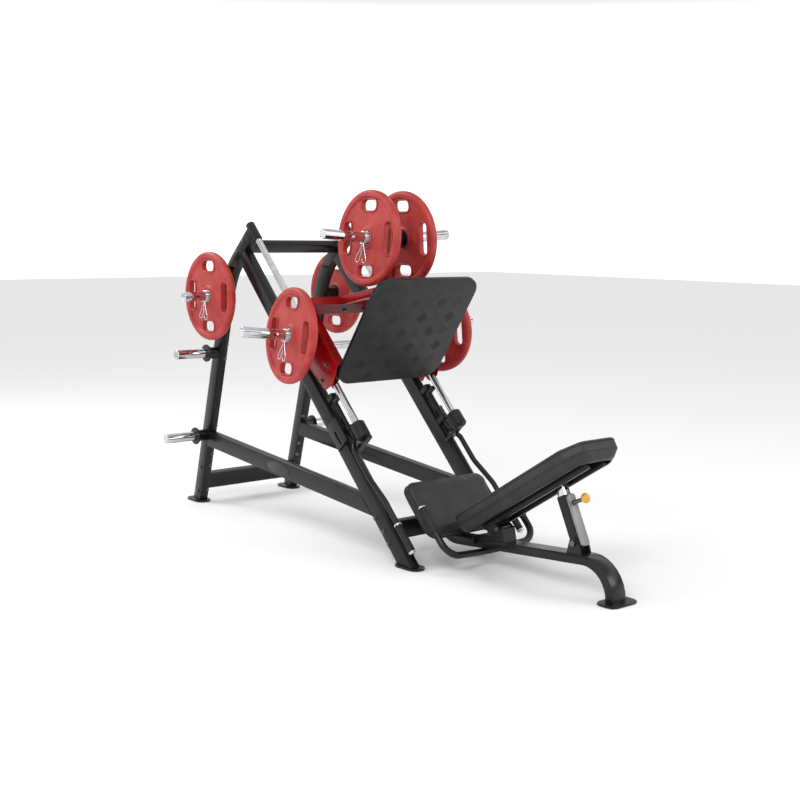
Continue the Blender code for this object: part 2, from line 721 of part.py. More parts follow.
def slider_channel(hand, sign):
    """A folded channel over a guide rod, open below, its lower end cut back behind the board."""
    side = sign * GAUGE
    outline = [(CHANNEL_END, -0.074), (CHANNEL_END, CHANNEL_TOP), (-0.188, CHANNEL_TOP)]
    outline += [(-0.146, 0.010), (-0.162, -0.052), (-0.176, -0.057), (-0.303, -0.078)]
    channel = side_plate(f"{hand}_slider_channel", outline, 2 * CHANNEL_HALF, side, RED, 0.003)
    hollow = rail_box(
        f"{hand}_channel_hollow",
        (CHANNEL_END - 0.05, 0.0),
        (-0.1, CHANNEL_TOP - CHANNEL_WALL),
        (side - CHANNEL_HALF + CHANNEL_WALL, side + CHANNEL_HALF - CHANNEL_WALL),
        None,
    )
    behind = footplate_frame(PAD_SHEET + BOARD_SHEET + 0.004)
    clearance = place(f"{hand}_board_clearance", box_mesh(1.0, 0.646, 0.5), None)
    clearance.matrix_world = behind @ Matrix.Translation((0.0, 0.0, 0.25))
    return cut(channel, hollow, clearance)


def box_mesh(length, width, depth):
    bm = bmesh.new()
    bmesh.ops.create_cube(bm, size=1.0)
    bmesh.ops.scale(bm, vec=(length, width, depth), verts=bm.verts[:])
    return mesh_from("box", bm)


def bearing(name, side, middle):
    """A bearing block between the channel's walls, bored for the guide rod."""
    half = CHANNEL_HALF - CHANNEL_WALL - GAP
    top = CHANNEL_TOP - CHANNEL_WALL - GAP
    along = (middle - 0.035, middle + 0.035)
    block = rail_box(name, along, (-0.0205, top), (side - half, side + half), STEEL)
    bore = turned(
        f"{name}_bore",
        rod_profile(ROD_RADIUS + 0.0006, 0.05, -0.05, 0.0),
        along_z(rail_point(middle, 0.0, side), DOWN),
        None,
        24,
    )
    return cut(block, bore)


def crossbar():
    """The bar over both channels, which carries the footplate's arms."""
    reach = GAUGE + CHANNEL_HALF
    low = CHANNEL_TOP + GAP
    along = (CROSSBAR_ALONG - CROSSBAR_SIZE / 2, CROSSBAR_ALONG + CROSSBAR_SIZE / 2)
    return rail_box("carriage_crossbar", along, (low, low + CROSSBAR_DEPTH), (-reach, reach), RED, 0.004)


def board_back():
    """The plane just behind the footplate board, with its outward direction."""
    frame = footplate_frame(PAD_SHEET + 2 * GAP + BOARD_SHEET)
    return frame.translation, frame.to_3x3() @ UP


def arm_point(x):
    """The middle of a footplate arm at a place along the machine."""
    foot = rail_point(ARM_FOOT_ALONG, ARM_FOOT_ABOVE)
    return Vector((x, 0.0, foot.z + (x - foot.x) * math.tan(ARM_RISE)))


def arm(hand, sign):
    """A tube from the top of the crossbar out to the back of the footplate board."""
    side = SIDEWAYS * sign * ARM_SIDE
    start = arm_point(-0.30) + side
    end = arm_point(0.40) + side
    up = (end - start).cross(SIDEWAYS).normalized() * -1
    crossbar_top = rail_point(0.0, CHANNEL_TOP + CROSSBAR_DEPTH + 2 * GAP)
    back_end = rail_point(CROSSBAR_ALONG - 0.010, 0.0)
    cuts = [(crossbar_top, -OUT), (back_end, -DOWN), board_back()]
    return bar(f"{hand}_footplate_arm", start, end, ARM_SIZE, ARM_SIZE, up, RED, cuts)


def horn_post():
    """The post of the two top horns, on a bridge between the footplate arms."""
    inner = SIDEWAYS * (ARM_SIDE - ARM_SIZE / 2 - GAP)
    centre = arm_point(POST_X)
    up = (arm_point(1.0) - arm_point(0.0)).cross(SIDEWAYS).normalized() * -1
    bridge = bar("post_bridge", centre - inner, centre + inner, 0.05, 0.036, up, RED)
    post = bar("horn_post", centre, Vector((POST_X, 0, POST_TOP)), 0.056, 0.07, Vector((1, 0, 0)), RED)
    return join(post, bridge)


def carriage():
    """Everything that rides on the guide rods."""
    slide = joint_empty("carriage_slide", rail_point(0.0, 0.0))
    carry(slide, *footplate(), crossbar(), horn_post())
    for hand, sign in SIDES.items():
        side = sign * GAUGE
        upper = bearing(f"{hand}_upper_bearing", side, CHANNEL_END + 0.05)
        lower = bearing(f"{hand}_lower_bearing", side, -0.27)
        carry(slide, slider_channel(hand, sign), arm(hand, sign), upper, lower)
        tilt = Vector((-0.1107, sign, 0.106)).normalized()
        base = rail_point(-0.3907, 0.0576, sign * (GAUGE + CHANNEL_HALF + 0.0003)) + tilt * 0.0052
        loaded_horn(f"{hand}_side", base, tilt, 0.098, 0.385, True, slide)
        tilt = Vector((0.0, sign, 0.0718)).normalized()
        base = Vector((POST_X, sign * (0.028 + GAP), 1.4308)) + tilt * 0.0026
        loaded_horn(f"{hand}_top", base, tilt, 0.052, 0.352, True, slide)


# Seat, back pad, handles and levers
def seat():
    """The sloping seat pad and its board."""
    middle = (SEAT_FRONT + SEAT_REAR) / 2
    centre = rail_point(middle, SEAT_UNDERSIDE + SEAT_THICKNESS / 2)
    outline = rounded_rectangle(SEAT_REAR - SEAT_FRONT, SEAT_WIDTH, SEAT_CORNER)
    outline_solid("seat_pad", outline, SEAT_THICKNESS, axes(centre, DOWN, OUT), VINYL, 0.012)
    top = SEAT_UNDERSIDE - GAP
    rail_box("seat_board", (0.465, 0.685), (top - SEAT_BOARD, top), (-0.19, 0.19), BLACK)


def back_place(along, above):
    """A place on the back pad, measured up it from the hinge and square out of its underside."""
    up_pad = Vector((math.cos(BACK_SLOPE), 0.0, math.sin(BACK_SLOPE)))
    outward = Vector((-math.sin(BACK_SLOPE), 0.0, math.cos(BACK_SLOPE)))
    return axes(BACK_HINGE + up_pad * along + outward * above, up_pad, outward)


def back_point(along, above, side=0.0):
    return back_place(along, above).translation + SIDEWAYS * side


def back_rest():
    """The hinged back pad on its frame."""
    middle = BACK_START + BACK_LENGTH / 2
    low = BACK_UNDERSIDE - BACK_SKIRT
    high = BACK_UNDERSIDE + BACK_THICKNESS
    outline = rounded_rectangle(BACK_LENGTH, BACK_WIDTH, 0.07)
    pad = outline_solid("back_pad", outline, high - low, back_place(middle, (low + high) / 2), VINYL, 0.018)
    cut(pad, back_recess(middle))
    frame = back_frame(middle)
    carry(joint_empty("back_hinge", BACK_HINGE), pad, frame)
    bolt = along_z(BACK_HINGE, -SIDEWAYS)
    return turned("hinge_bolt", bolt_profile(0.0068, 0.0385, 0.011), bolt, STEEL, 16)


def back_recess(middle):
    """The hollow under the pad, open at the seat end, that takes the sheet."""
    reach = 0.10
    return outline_solid(
        "back_recess",
        rounded_rectangle(BACK_LENGTH - 0.054 + reach, BACK_WIDTH - 0.054, 0.05, 2),
        0.10,
        back_place(middle - reach / 2, BACK_UNDERSIDE - 0.05),
        None,
    )


def back_frame(middle):
    """The sheet under the back pad, with its two rails, the hinge knuckle and the strut's tongue."""
    sheet_top = BACK_UNDERSIDE - GAP
    sheet = outline_solid(
        "back_frame",
        rounded_rectangle(BACK_LENGTH - 0.06, BACK_WIDTH - 0.06, 0.05, 2),
        BACK_SHEET,
        back_place(middle, sheet_top - BACK_SHEET / 2),
        BLACK,
    )
    up = back_place(0.0, 0.0).to_3x3() @ UP
    level = sheet_top - BACK_RAIL_DEPTH / 2
    for hand, sign in SIDES.items():
        start = back_point(-0.060, level, sign * BACK_RAIL_SIDE)
        end = back_point(BACK_START + BACK_LENGTH - 0.060, level, sign * BACK_RAIL_SIDE)
        rail_name = f"{hand}_back_rail"
        join(sheet, bar(rail_name, start, end, 0.016, BACK_RAIL_DEPTH, up, None, radius=0.002))
    knuckle = turned(
        "back_knuckle",
        ring_profile(0.018, 0.0075, 0.029, -0.029, 0.001),
        along_z(BACK_HINGE, SIDEWAYS),
        None,
        16,
        closed=True,
    )
    web_foot = back_point(-0.004, 0.0145)
    web_head = back_point(-0.004, sheet_top - 0.003)
    up_pad = back_place(0.0, 0.0).to_3x3() @ Vector((1, 0, 0))
    web = bar("back_web", web_foot, web_head, 0.050, 0.020, up_pad, None)
    join(sheet, web, knuckle, strut_tongue(sheet_top))
    return sheet


def strut_tongue(sheet_top):
    """The lug between the strut's fork. Its hole has play, because the strut turns and slides."""
    head = strut_head()
    top = sheet_top - BACK_SHEET / 2 - STRUT_HEAD_ABOVE
    radius = STRUT_PIN_RADIUS + STRUT_PIN_PLAY + 0.006
    outline = [(0.030, top), (-0.030, top)]
    outline += [(radius * math.cos(a), radius * math.sin(a)) for a in arc(190, 350, 6)]
    stand = axes(head, back_place(0, 0).to_3x3() @ Vector((1, 0, 0)), -SIDEWAYS)
    tongue = outline_solid("strut_tongue", outline, 0.016, stand, None)
    return cut(tongue, pin_hole("tongue_hole", head, STRUT_PIN_RADIUS + STRUT_PIN_PLAY))


def strut_head():
    """The middle of the pin at the top of the strut."""
    return back_point(STRUT_HEAD_ALONG, STRUT_HEAD_ABOVE)


def pin_hole(name, centre, radius):
    return turned(name, rod_profile(radius, 0.1, -0.1, 0.0), along_z(centre, SIDEWAYS), None, 16)


def bolt_profile(radius, reach, head):
    """A bolt with a round head at each end, along its Z axis."""
    return [
        (0.0, reach + 0.008),
        (head, reach + 0.008),
        (head, reach),
        (radius, reach),
        (radius, -reach),
        (head, -reach),
        (head, -reach - 0.008),
        (0.0, -reach - 0.008),
    ]


def strut():
    """The telescopic strut under the back pad and the pull knob that locks it."""
    head = strut_head()
    direction = (head - STRUT_FOOT).normalized()
    across = SIDEWAYS.cross(direction)
    pin = along_z(STRUT_FOOT + direction * KNOB_ALONG, across)
    sleeve = strut_sleeve(direction, across, pin)
    inner = strut_bar(head, direction, across)
    foot_bolt = bolt_profile(0.0076, 0.0355, 0.013)
    turned("strut_bolt", foot_bolt, along_z(STRUT_FOOT, SIDEWAYS), STEEL, 16)
    carry(joint_empty("strut_swing", STRUT_FOOT), sleeve, inner)
    knob = turned("pull_knob", knob_profile(), pin, YELLOW, 20)
    carry(joint_empty("knob_slide", pin.translation), knob)


def strut_sleeve(direction, across, pin):
    """The outer tube, closed below round its foot bolt, with a hole for the knob's pin."""
    start = STRUT_FOOT - direction * 0.022
    end = STRUT_FOOT + direction * STRUT_SLEEVE
    sleeve = bar("strut_sleeve", start, end, STRUT_SIZE, STRUT_SIZE, across, BLACK)
    inside = STRUT_SIZE - 2 * STRUT_WALL
    low = STRUT_FOOT + direction * 0.020
    hollow = bar("strut_hollow", low, end + direction * 0.1, inside, inside, across, None, radius=0.003)
    knob_bore = turned("knob_bore", rod_profile(0.0064, 0.10, 0.0, 0.0), pin, None, 16)
    return cut(sleeve, hollow, pin_hole("strut_foot_hole", STRUT_FOOT, 0.0082), knob_bore)


def strut_bar(head, direction, across):
    """The inner bar, with a fork and a pin at its head."""
    size = STRUT_SIZE - 2 * STRUT_WALL - 0.002
    start = STRUT_FOOT + direction * STRUT_BAR_START
    inner = bar("strut_bar", start, head + direction * 0.012, size, size, across, CHROME, radius=0.003)
    low = head - direction * 0.020
    slot = bar("strut_slot", low, head + direction * 0.05, 0.0172, 0.08, across, None, radius=0.001)
    profile = rod_profile(STRUT_PIN_RADIUS, 0.0195, -0.0195, 0.001)
    cut(inner, slot)
    return join(inner, turned("strut_pin", profile, along_z(head, SIDEWAYS), None, 16))


def knob_profile():
    """The mushroom knob on its shank, whose pin ends just short of the inner bar."""
    face = STRUT_SIZE / 2
    head = face + KNOB_SHANK
    return [
        (0.0, head + 0.030),
        (0.013, head + 0.028),
        (0.021, head + 0.020),
        (0.0225, head + 0.012),
        (0.016, head + 0.004),
        (0.0085, head),
        (0.0085, face + 0.001),
        (0.006, face + 0.001),
        (0.006, face - STRUT_WALL),
        (0.0, face - STRUT_WALL),
    ]


def handle_bar():
    """The round handle bar, under the seat beam and up beside the seat to a grip on each side."""
    low = beam_top(HANDLE_X) - BEAM_DEPTH - HANDLE_RADIUS - 2 * GAP
    points = []
    for sign in SIDES.values():
        tip = rail_point(HANDLE_TOP, HANDLE_ABOVE, sign * HANDLE_SIDE)
        corner = rail_point(HANDLE_FOOT, HANDLE_ABOVE, sign * HANDLE_SIDE)
        middle = Vector((HANDLE_X, sign * HANDLE_FLAT, low))
        points = [tip, corner, middle] if sign < 0 else points + [middle, corner, tip]
    return tube("handle_bar", rounded_path(points, [0.07, 0.15, 0.15, 0.07]), HANDLE_RADIUS, BLACK)


def lock_lever(hand, sign):
    """A cranked lever along the rail, with the stop lug at its top end and the grip at its foot."""
    route = [(-0.145, LEVER_ABOVE, LEVER_SIDE), (0.118, LEVER_ABOVE, LEVER_SIDE)]
    route += [(0.178, -0.066, 0.331), (0.320, -0.066, 0.331), (0.475, -0.036, 0.336)]
    route.append((0.748, -0.036, 0.336))
    points = [rail_point(along, above, sign * side) for along, above, side in route]
    path = rounded_path(points, [0.03, 0.03, 0.12, 0.12], 3)
    lever = tube(f"{hand}_lock_lever", path, LEVER_RADIUS, BLACK)
    grip = turned(
        f"{hand}_lever_grip",
        rod_profile(0.017, 0.0, -0.140, 0.003),
        along_z(rail_point(0.610, -0.036, sign * 0.336), -DOWN),
        None,
        16,
    )
    shaft = sign * LEVER_SIDE
    lug = rail_box(
        f"{hand}_stop_lug",
        (-0.110, -0.090),
        (LEVER_ABOVE - 0.012, LEVER_ABOVE + 0.045),
        (shaft - 0.010, shaft + 0.010),
        None,
    )
    join(lever, grip, lug)
    carry(joint_empty(f"{hand}_lever_turn", rail_point(0.0, LEVER_ABOVE, shaft)), lever)


def build():
    crossmembers()
    seat_beam()
    handle_bar()
    for hand, sign in SIDES.items():
        upright(hand, sign)
        rail(hand, sign)
        side_tube(hand, sign)
        guide(hand, sign)
        storage_horns(hand, sign)
        lock_lever(hand, sign)
    carriage()
    seat()
    back_rest()
    strut()


clear_scene()
PARTS = new_collection("leg_press")
CUTTERS = new_collection("cutters")
CUTTERS.hide_render = True
build()
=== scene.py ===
"""Looks of the leg press: materials, weight plates, spring clips, horns, pads, tread and small fittings."""

import math

import bmesh
import bpy
from mathutils import Matrix, Vector
from mathutils.bvhtree import BVHTree
from mathutils.kdtree import KDTree


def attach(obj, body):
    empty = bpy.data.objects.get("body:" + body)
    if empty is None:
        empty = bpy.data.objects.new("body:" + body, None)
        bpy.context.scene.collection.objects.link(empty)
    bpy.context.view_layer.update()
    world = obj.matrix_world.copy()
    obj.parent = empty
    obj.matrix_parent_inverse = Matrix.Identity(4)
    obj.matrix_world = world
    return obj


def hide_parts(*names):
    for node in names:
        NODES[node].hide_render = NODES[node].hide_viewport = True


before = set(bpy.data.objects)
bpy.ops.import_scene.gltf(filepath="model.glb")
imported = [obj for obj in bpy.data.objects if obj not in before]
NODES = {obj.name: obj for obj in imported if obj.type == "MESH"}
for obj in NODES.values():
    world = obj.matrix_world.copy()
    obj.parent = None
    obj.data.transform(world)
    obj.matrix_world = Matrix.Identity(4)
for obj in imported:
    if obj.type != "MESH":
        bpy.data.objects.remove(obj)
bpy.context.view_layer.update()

# The CAD's own driving dimensions, in metres
SLOPE = math.radians(46.0)
ROD_HEIGHT = 0.65
GAUGE = 0.30
TUBE_HALF = 0.025
UPRIGHT_FOOT_X, UPRIGHT_LEAN = -1.3193, 0.2587
CHANNEL_HALF = 0.027
SLEEVE_RADIUS, STUB_RADIUS, FLANGE_RADIUS, FLANGE_THICKNESS = 0.025, 0.030, 0.045, 0.008
PLATE_RADIUS, PLATE_THICKNESS, PLATE_BORE = 0.225, 0.036, 0.0258
STORAGE_HEIGHTS = {"top": 1.131, "middle": 0.830, "low": 0.378}
POST_X = -0.105
FOOTPLATE_TILT = math.radians(12.5)
FOOTPLATE_ALONG, FOOTPLATE_ABOVE = -0.209, 0.2935
FOOTPLATE_HEIGHT, FOOTPLATE_WIDTH, FOOTPLATE_CORNER, TREAD_SHEET = 0.593, 0.622, 0.085, 0.010
SEAT_FRONT, SEAT_REAR, SEAT_WIDTH, SEAT_THICKNESS = 0.432, 0.7225, 0.48, 0.048
SEAT_UNDERSIDE, SEAT_CORNER = -0.018, 0.055
BACK_SLOPE = math.radians(32.0)
BACK_HINGE = Vector((0.715, 0.0, 0.190))
BACK_START, BACK_LENGTH, BACK_WIDTH, BACK_THICKNESS = -0.133, 0.818, 0.32, 0.050
BACK_UNDERSIDE, BACK_SKIRT = 0.071, 0.036
STRUT_FOOT = Vector((1.150, 0.0, 0.212))
STRUT_HEAD_ALONG, STRUT_HEAD_ABOVE, STRUT_SIZE = 0.407, 0.026, 0.050
KNOB_ALONG, KNOB_SHANK = 0.158, 0.068
HANDLE_SIDE, HANDLE_ABOVE, HANDLE_RADIUS = 0.27, 0.082, 0.0155
HANDLE_TOP, HANDLE_FOOT, HANDLE_X, HANDLE_FLAT = 0.607, 0.858, 0.622, 0.05
LEVER_SIDE, LEVER_ABOVE, LEVER_RADIUS = 0.295, -0.068, 0.0125
LEVER_RUN_SIDE, LEVER_RUN_ABOVE = 0.331, -0.066
LEVER_GRIP_SIDE, LEVER_GRIP_ABOVE = 0.336, -0.036
GAP = 0.0003

# Sizes of the looks, in metres
WEB_DEPTH = 0.0085  # how far a plate's web lies below its rim
SLOT_LIP = 0.0045
WIRE_RADIUS, COIL_RADIUS = 0.0019, 0.0024
TREAD_RELIEF = 0.0013
PAD_EDGE, SEAM_WIDTH, SEAM_DEPTH, WELT_RADIUS = 0.010, 0.0032, 0.0026, 0.0017
CLOTH_FRAMES = 20

# The camera, fitted to the machine's outline
CAMERA_PLACE = Vector((4.4825, -3.8122, 1.4674))
CAMERA_YAW, CAMERA_PITCH, CAMERA_ROLL, CAMERA_LENS = 49.589, -7.672, 0.643, 56.15

DOWN = Vector((math.cos(SLOPE), 0.0, -math.sin(SLOPE)))
OUT = Vector((math.sin(SLOPE), 0.0, math.cos(SLOPE)))
SIDEWAYS = Vector((0.0, 1.0, 0.0))
UP = Vector((0.0, 0.0, 1.0))
SIDES = {"left": -1, "right": 1}


# Places and directions
def rail_point(along, above, side=0.0):
    return Vector((0.0, side, ROD_HEIGHT)) + DOWN * along + OUT * above


def axes(origin, x_axis, z_axis):
    """A matrix with its X and Z axes along two square directions."""
    x_axis = x_axis.normalized()
    z_axis = z_axis.normalized()
    turn = Matrix((x_axis, z_axis.cross(x_axis), z_axis)).transposed().to_4x4()
    return Matrix.Translation(origin) @ turn


def along_z(origin, direction):
    return Matrix.Translation(origin) @ direction.to_track_quat("Z", "Y").to_matrix().to_4x4()


def upright_axes(centre, direction):
    """A matrix with Z along a sideways axis and Y as near up as it can be."""
    return axes(centre, UP.cross(direction), direction)


def back_place(along, above):
    """A place on the back pad, up it from the hinge and square out of its underside."""
    up_pad = Vector((math.cos(BACK_SLOPE), 0.0, math.sin(BACK_SLOPE)))
    outward = Vector((-math.sin(BACK_SLOPE), 0.0, math.cos(BACK_SLOPE)))
    return axes(BACK_HINGE + up_pad * along + outward * above, up_pad, outward)


def arc(first, last, steps):
    return [math.radians(first + (last - first) * step / steps) for step in range(steps + 1)]


def rounded_rectangle(length, width, radius, steps=8):
    """The outline of a rectangle with round corners, about the origin."""
    points = []
    for quarter, (sx, sy) in enumerate(((1, 1), (-1, 1), (-1, -1), (1, -1))):
        centre_x = sx * (length / 2 - radius)
        centre_y = sy * (width / 2 - radius)
        for angle in arc(90 * quarter, 90 * quarter + 90, steps):
            points.append((centre_x + radius * math.cos(angle), centre_y + radius * math.sin(angle)))
    return points


def rounded_path(points, radii, steps=8):
    """A path through points with an arc of each radius at each inner point."""
    path = [points[0]]
    for before, corner, after, radius in zip(points, points[1:], points[2:], radii):
        into = (corner - before).normalized()
        away = (after - corner).normalized()
        turn = into.angle(away)
        reach = radius * math.tan(turn / 2)
        centre = corner + (away - into).normalized() * radius / math.cos(turn / 2)
        first = corner - into * reach - centre
        axis = into.cross(away)
        for step in range(steps + 1):
            path.append(centre + Matrix.Rotation(turn * step / steps, 3, axis) @ first)
    path.append(points[-1])
    return path


def spread(points, spacing, closed=True):
    """The same line with a point at every step of about one spacing."""
    found = []
    ends = points[1:] + points[:1] if closed else points[1:]
    for start, end in zip(points, ends):
        steps = max(1, round((end - start).length / spacing))
        found += [start.lerp(end, step / steps) for step in range(steps)]
    if not closed:
        found.append(points[-1])
    return found


# Materials
class Finish:
    """A Principled material whose colour, roughness and surface come from noise at real scales."""

    def __init__(self, name, roughness, metallic=0.0):
        self.material = bpy.data.materials.new(name)
        self.material.use_nodes = True
        self.tree = self.material.node_tree
        self.shader = self.tree.nodes["Principled BSDF"]
        self.shader.inputs["Metallic"].default_value = metallic
        self.shader.inputs["Roughness"].default_value = roughness
        self.place = self.tree.nodes.new("ShaderNodeTexCoord").outputs["Object"]
        self.height = None

    def texture(self, kind, scale, detail=3.0):
        node = self.tree.nodes.new(kind)
        self.tree.links.new(self.place, node.inputs["Vector"])
        node.inputs["Scale"].default_value = scale
        if "Detail" in node.inputs:
            node.inputs["Detail"].default_value = detail
        return node.outputs["Fac"] if "Fac" in node.outputs else node.outputs["Distance"]

    def colour(self, dark, light, scale, detail=4.0):
        """Mottles the colour between two shades."""
        ramp = self.tree.nodes.new("ShaderNodeValToRGB")
        ramp.color_ramp.elements[0].position = 0.35
        ramp.color_ramp.elements[0].color = (*dark, 1.0)
        ramp.color_ramp.elements[1].position = 0.65
        ramp.color_ramp.elements[1].color = (*light, 1.0)
        noise = self.texture("ShaderNodeTexNoise", scale, detail)
        self.tree.links.new(noise, ramp.inputs["Fac"])
        self.tree.links.new(ramp.outputs["Color"], self.shader.inputs["Base Color"])
        return self

    def gloss(self, low, high, scale):
        """Varies the roughness, as handling and dust do."""
        span = self.tree.nodes.new("ShaderNodeMapRange")
        span.inputs["To Min"].default_value = low
        span.inputs["To Max"].default_value = high
        self.tree.links.new(self.texture("ShaderNodeTexNoise", scale, 5.0), span.inputs["Value"])
        self.tree.links.new(span.outputs["Result"], self.shader.inputs["Roughness"])
        return self

    def grain(self, kind, scale, distance, strength=0.5):
        """Adds one layer of surface relief on those before it."""
        bump = self.tree.nodes.new("ShaderNodeBump")
        bump.inputs["Distance"].default_value = distance
        bump.inputs["Strength"].default_value = strength
        self.tree.links.new(self.texture(kind, scale), bump.inputs["Height"])
        if self.height:
            self.tree.links.new(self.height, bump.inputs["Normal"])
        self.height = bump.outputs["Normal"]
        self.tree.links.new(self.height, self.shader.inputs["Normal"])
        return self

    def sheen(self, level):
        """Sets how strongly the surface mirrors what stands round it."""
        self.shader.inputs["Specular IOR Level"].default_value = level
        return self

    def coat(self, weight, roughness):
        self.shader.inputs["Coat Weight"].default_value = weight
        self.shader.inputs["Coat Roughness"].default_value = roughness
        return self


def powder_coat(name, dark, light, low, high):
    """Powder paint: fine orange peel, faint colour drift and a soft clear sheen."""
    finish = Finish(name, (low + high) / 2).colour(dark, light, 9.0).gloss(low, high, 14.0)
    finish.grain("ShaderNodeTexNoise", 700.0, 0.0004, 0.35)
    finish.grain("ShaderNodeTexNoise", 90.0, 0.0003, 0.25)
    return finish.sheen(0.28).coat(0.10, 0.12).material


def chrome_plate(name="chrome_plate"):
    finish = Finish(name, 0.08, 1.0).colour((0.56, 0.56, 0.58), (0.68, 0.68, 0.70), 30.0)
    return finish.gloss(0.03, 0.09, 45.0).grain("ShaderNodeTexNoise", 400.0, 0.0001, 0.12).material


def steel(name, shade, roughness):
    """Bare metal with fine brushing."""
    finish = Finish(name, roughness, 1.0).colour((shade * 0.85,) * 3, (shade,) * 3, 60.0)
    finish.gloss(roughness - 0.07, roughness + 0.10, 80.0)
    return finish.grain("ShaderNodeTexNoise", 900.0, 0.0002, 0.25).material


def moulded_rubber(name, dark, light, roughness):
    """Rubber with a fine grain over a slow unevenness."""
    finish = Finish(name, roughness).colour(dark, light, 16.0)
    finish.gloss(roughness - 0.08, roughness + 0.10, 25.0)
    finish.grain("ShaderNodeTexNoise", 1100.0, 0.0004, 0.40).grain("ShaderNodeTexNoise", 60.0, 0.0006, 0.20)
    return finish.sheen(0.30).material


def upholstery_vinyl():
    """Dark grey vinyl: pebbled grain, faint creases and a low satin sheen."""
    finish = Finish("upholstery_vinyl", 0.45).colour((0.018, 0.018, 0.019), (0.028, 0.028, 0.030), 7.0)
    finish.gloss(0.38, 0.55, 18.0).grain("ShaderNodeTexVoronoi", 620.0, 0.0005, 0.35)
    finish.grain("ShaderNodeTexNoise", 45.0, 0.0012, 0.25)
    return finish.sheen(0.30).coat(0.06, 0.30).material


def moulded_knob():
    finish = Finish("knob_yellow", 0.32).colour((0.60, 0.32, 0.025), (0.72, 0.41, 0.045), 40.0)
    return finish.gloss(0.26, 0.40, 60.0).grain("ShaderNodeTexNoise", 500.0, 0.0002, 0.2).material


BLACK = powder_coat("powder_black", (0.004, 0.004, 0.0045), (0.009, 0.009, 0.010), 0.24, 0.36)
RED = powder_coat("powder_red", (0.20, 0.0015, 0.002), (0.29, 0.002, 0.004), 0.20, 0.32)
CHROME = chrome_plate()
STEEL = steel("bright_steel", 0.62, 0.26)
BOLT_STEEL = steel("blackened_steel", 0.16, 0.34)
PLATE_RED = moulded_rubber("plate_rubber", (0.34, 0.026, 0.024), (0.44, 0.044, 0.038), 0.42)
TREAD_RUBBER = moulded_rubber("tread_rubber", (0.016, 0.017, 0.017), (0.022, 0.023, 0.023), 0.46)
BLACK_RUBBER = moulded_rubber("black_rubber", (0.007, 0.007, 0.007), (0.014, 0.014, 0.014), 0.50)
VINYL = upholstery_vinyl()
YELLOW = moulded_knob()
# painted reflection: a light grey standing in for the shine on the strut's black gloss outer face
REFLECTION_GREY = powder_coat("painted_reflection_grey", (0.20, 0.20, 0.205), (0.30, 0.30, 0.31), 0.20, 0.30)
BADGE = powder_coat("badge_face", (0.030, 0.030, 0.032), (0.042, 0.042, 0.044), 0.22, 0.32)


# Meshes and pieces
def piece(name, mesh, material, body, replaces=(), sharp=35):
    """Links a mesh made in the machine's own frame as a piece that rides on a body."""
    mesh.shade_smooth()
    mesh.set_sharp_from_angle(angle=math.radians(sharp))
    mesh.materials.clear()
    mesh.materials.append(material)
    obj = bpy.data.objects.new(name, mesh)
    bpy.context.scene.collection.objects.link(obj)
    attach(obj, body)
    if replaces:
        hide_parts(*replaces)
    return obj


def mesh_of(bm, name):
    bmesh.ops.recalc_face_normals(bm, faces=bm.faces[:])
    mesh = bpy.data.meshes.new(name)
    bm.to_mesh(mesh)
    bm.free()
    return mesh


def baked(obj):
    """The object's evaluated mesh. The object is removed."""
    bpy.context.view_layer.update()
    graph = bpy.context.evaluated_depsgraph_get()
    mesh = bpy.data.meshes.new_from_object(obj.evaluated_get(graph))
    mesh.transform(obj.matrix_world)
    bpy.data.objects.remove(obj, do_unlink=True)
    return mesh


def joined(name, *meshes):
    bm = bmesh.new()
    for mesh in meshes:
        bm.from_mesh(mesh)
    return mesh_of(bm, name)


def turned(profile, matrix, steps=48, closed=False):
    """A turned mesh from (radius, height) points. An open profile ends on the axis."""
    bm = bmesh.new()
    rings = []
    for radius, height in profile:
        if radius < 1e-6:
            rings.append([bm.verts.new((0.0, 0.0, height))])
            continue
        turns = [math.tau * step / steps for step in range(steps)]
        ring = [bm.verts.new((radius * math.cos(a), radius * math.sin(a), height)) for a in turns]
        rings.append(ring)
    pairs = list(zip(rings, rings[1:] + (rings[:1] if closed else [])))
    for upper, lower in pairs:
        for step in range(steps):
            after = (step + 1) % steps
            corners = [upper[step % len(upper)], upper[after % len(upper)]]
            corners += [lower[after % len(lower)], lower[step % len(lower)]]
            bm.faces.new(list(dict.fromkeys(corners)))
    bmesh.ops.transform(bm, matrix=matrix, verts=bm.verts[:])
    return mesh_of(bm, "turned")


def softened(profile, radius, closed=False, steps=3):
    """A profile with each inner corner rounded off."""
    points = [Vector((r, 0.0, h)) for r, h in profile]
    found = []
    count = len(points)
    for index, point in enumerate(points):
        if not closed and index in (0, count - 1):
            found.append((point.x, point.z))
            continue
        before = points[index - 1] - point
        after = points[(index + 1) % count] - point
        reach = min(radius, before.length * 0.45, after.length * 0.45)
        first = point + before.normalized() * reach
        last = point + after.normalized() * reach
        for step in range(steps + 1):
            t = step / steps
            place = first * (1 - t) ** 2 + point * 2 * t * (1 - t) + last * t * t
            found.append((place.x, place.z))
    return found


def wire(points, radius, closed=False, resolution=4):
    """A round bar or wire along points."""
    curve = bpy.data.curves.new("wire", "CURVE")
    curve.dimensions = "3D"
    curve.bevel_depth = radius
    curve.bevel_resolution = resolution
    curve.use_fill_caps = not closed
    spline = curve.splines.new("POLY")
    spline.points.add(len(points) - 1)
    for point, at in zip(spline.points, points):
        point.co = (*at, 1.0)
    spline.use_cyclic_u = closed
    guide = bpy.data.objects.new("wire", curve)
    bpy.context.scene.collection.objects.link(guide)
    mesh = baked(guide)
    bm = bmesh.new()
    bm.from_mesh(mesh)
    bmesh.ops.remove_doubles(bm, verts=bm.verts[:], dist=0.00002)
    return mesh_of(bm, "wire")


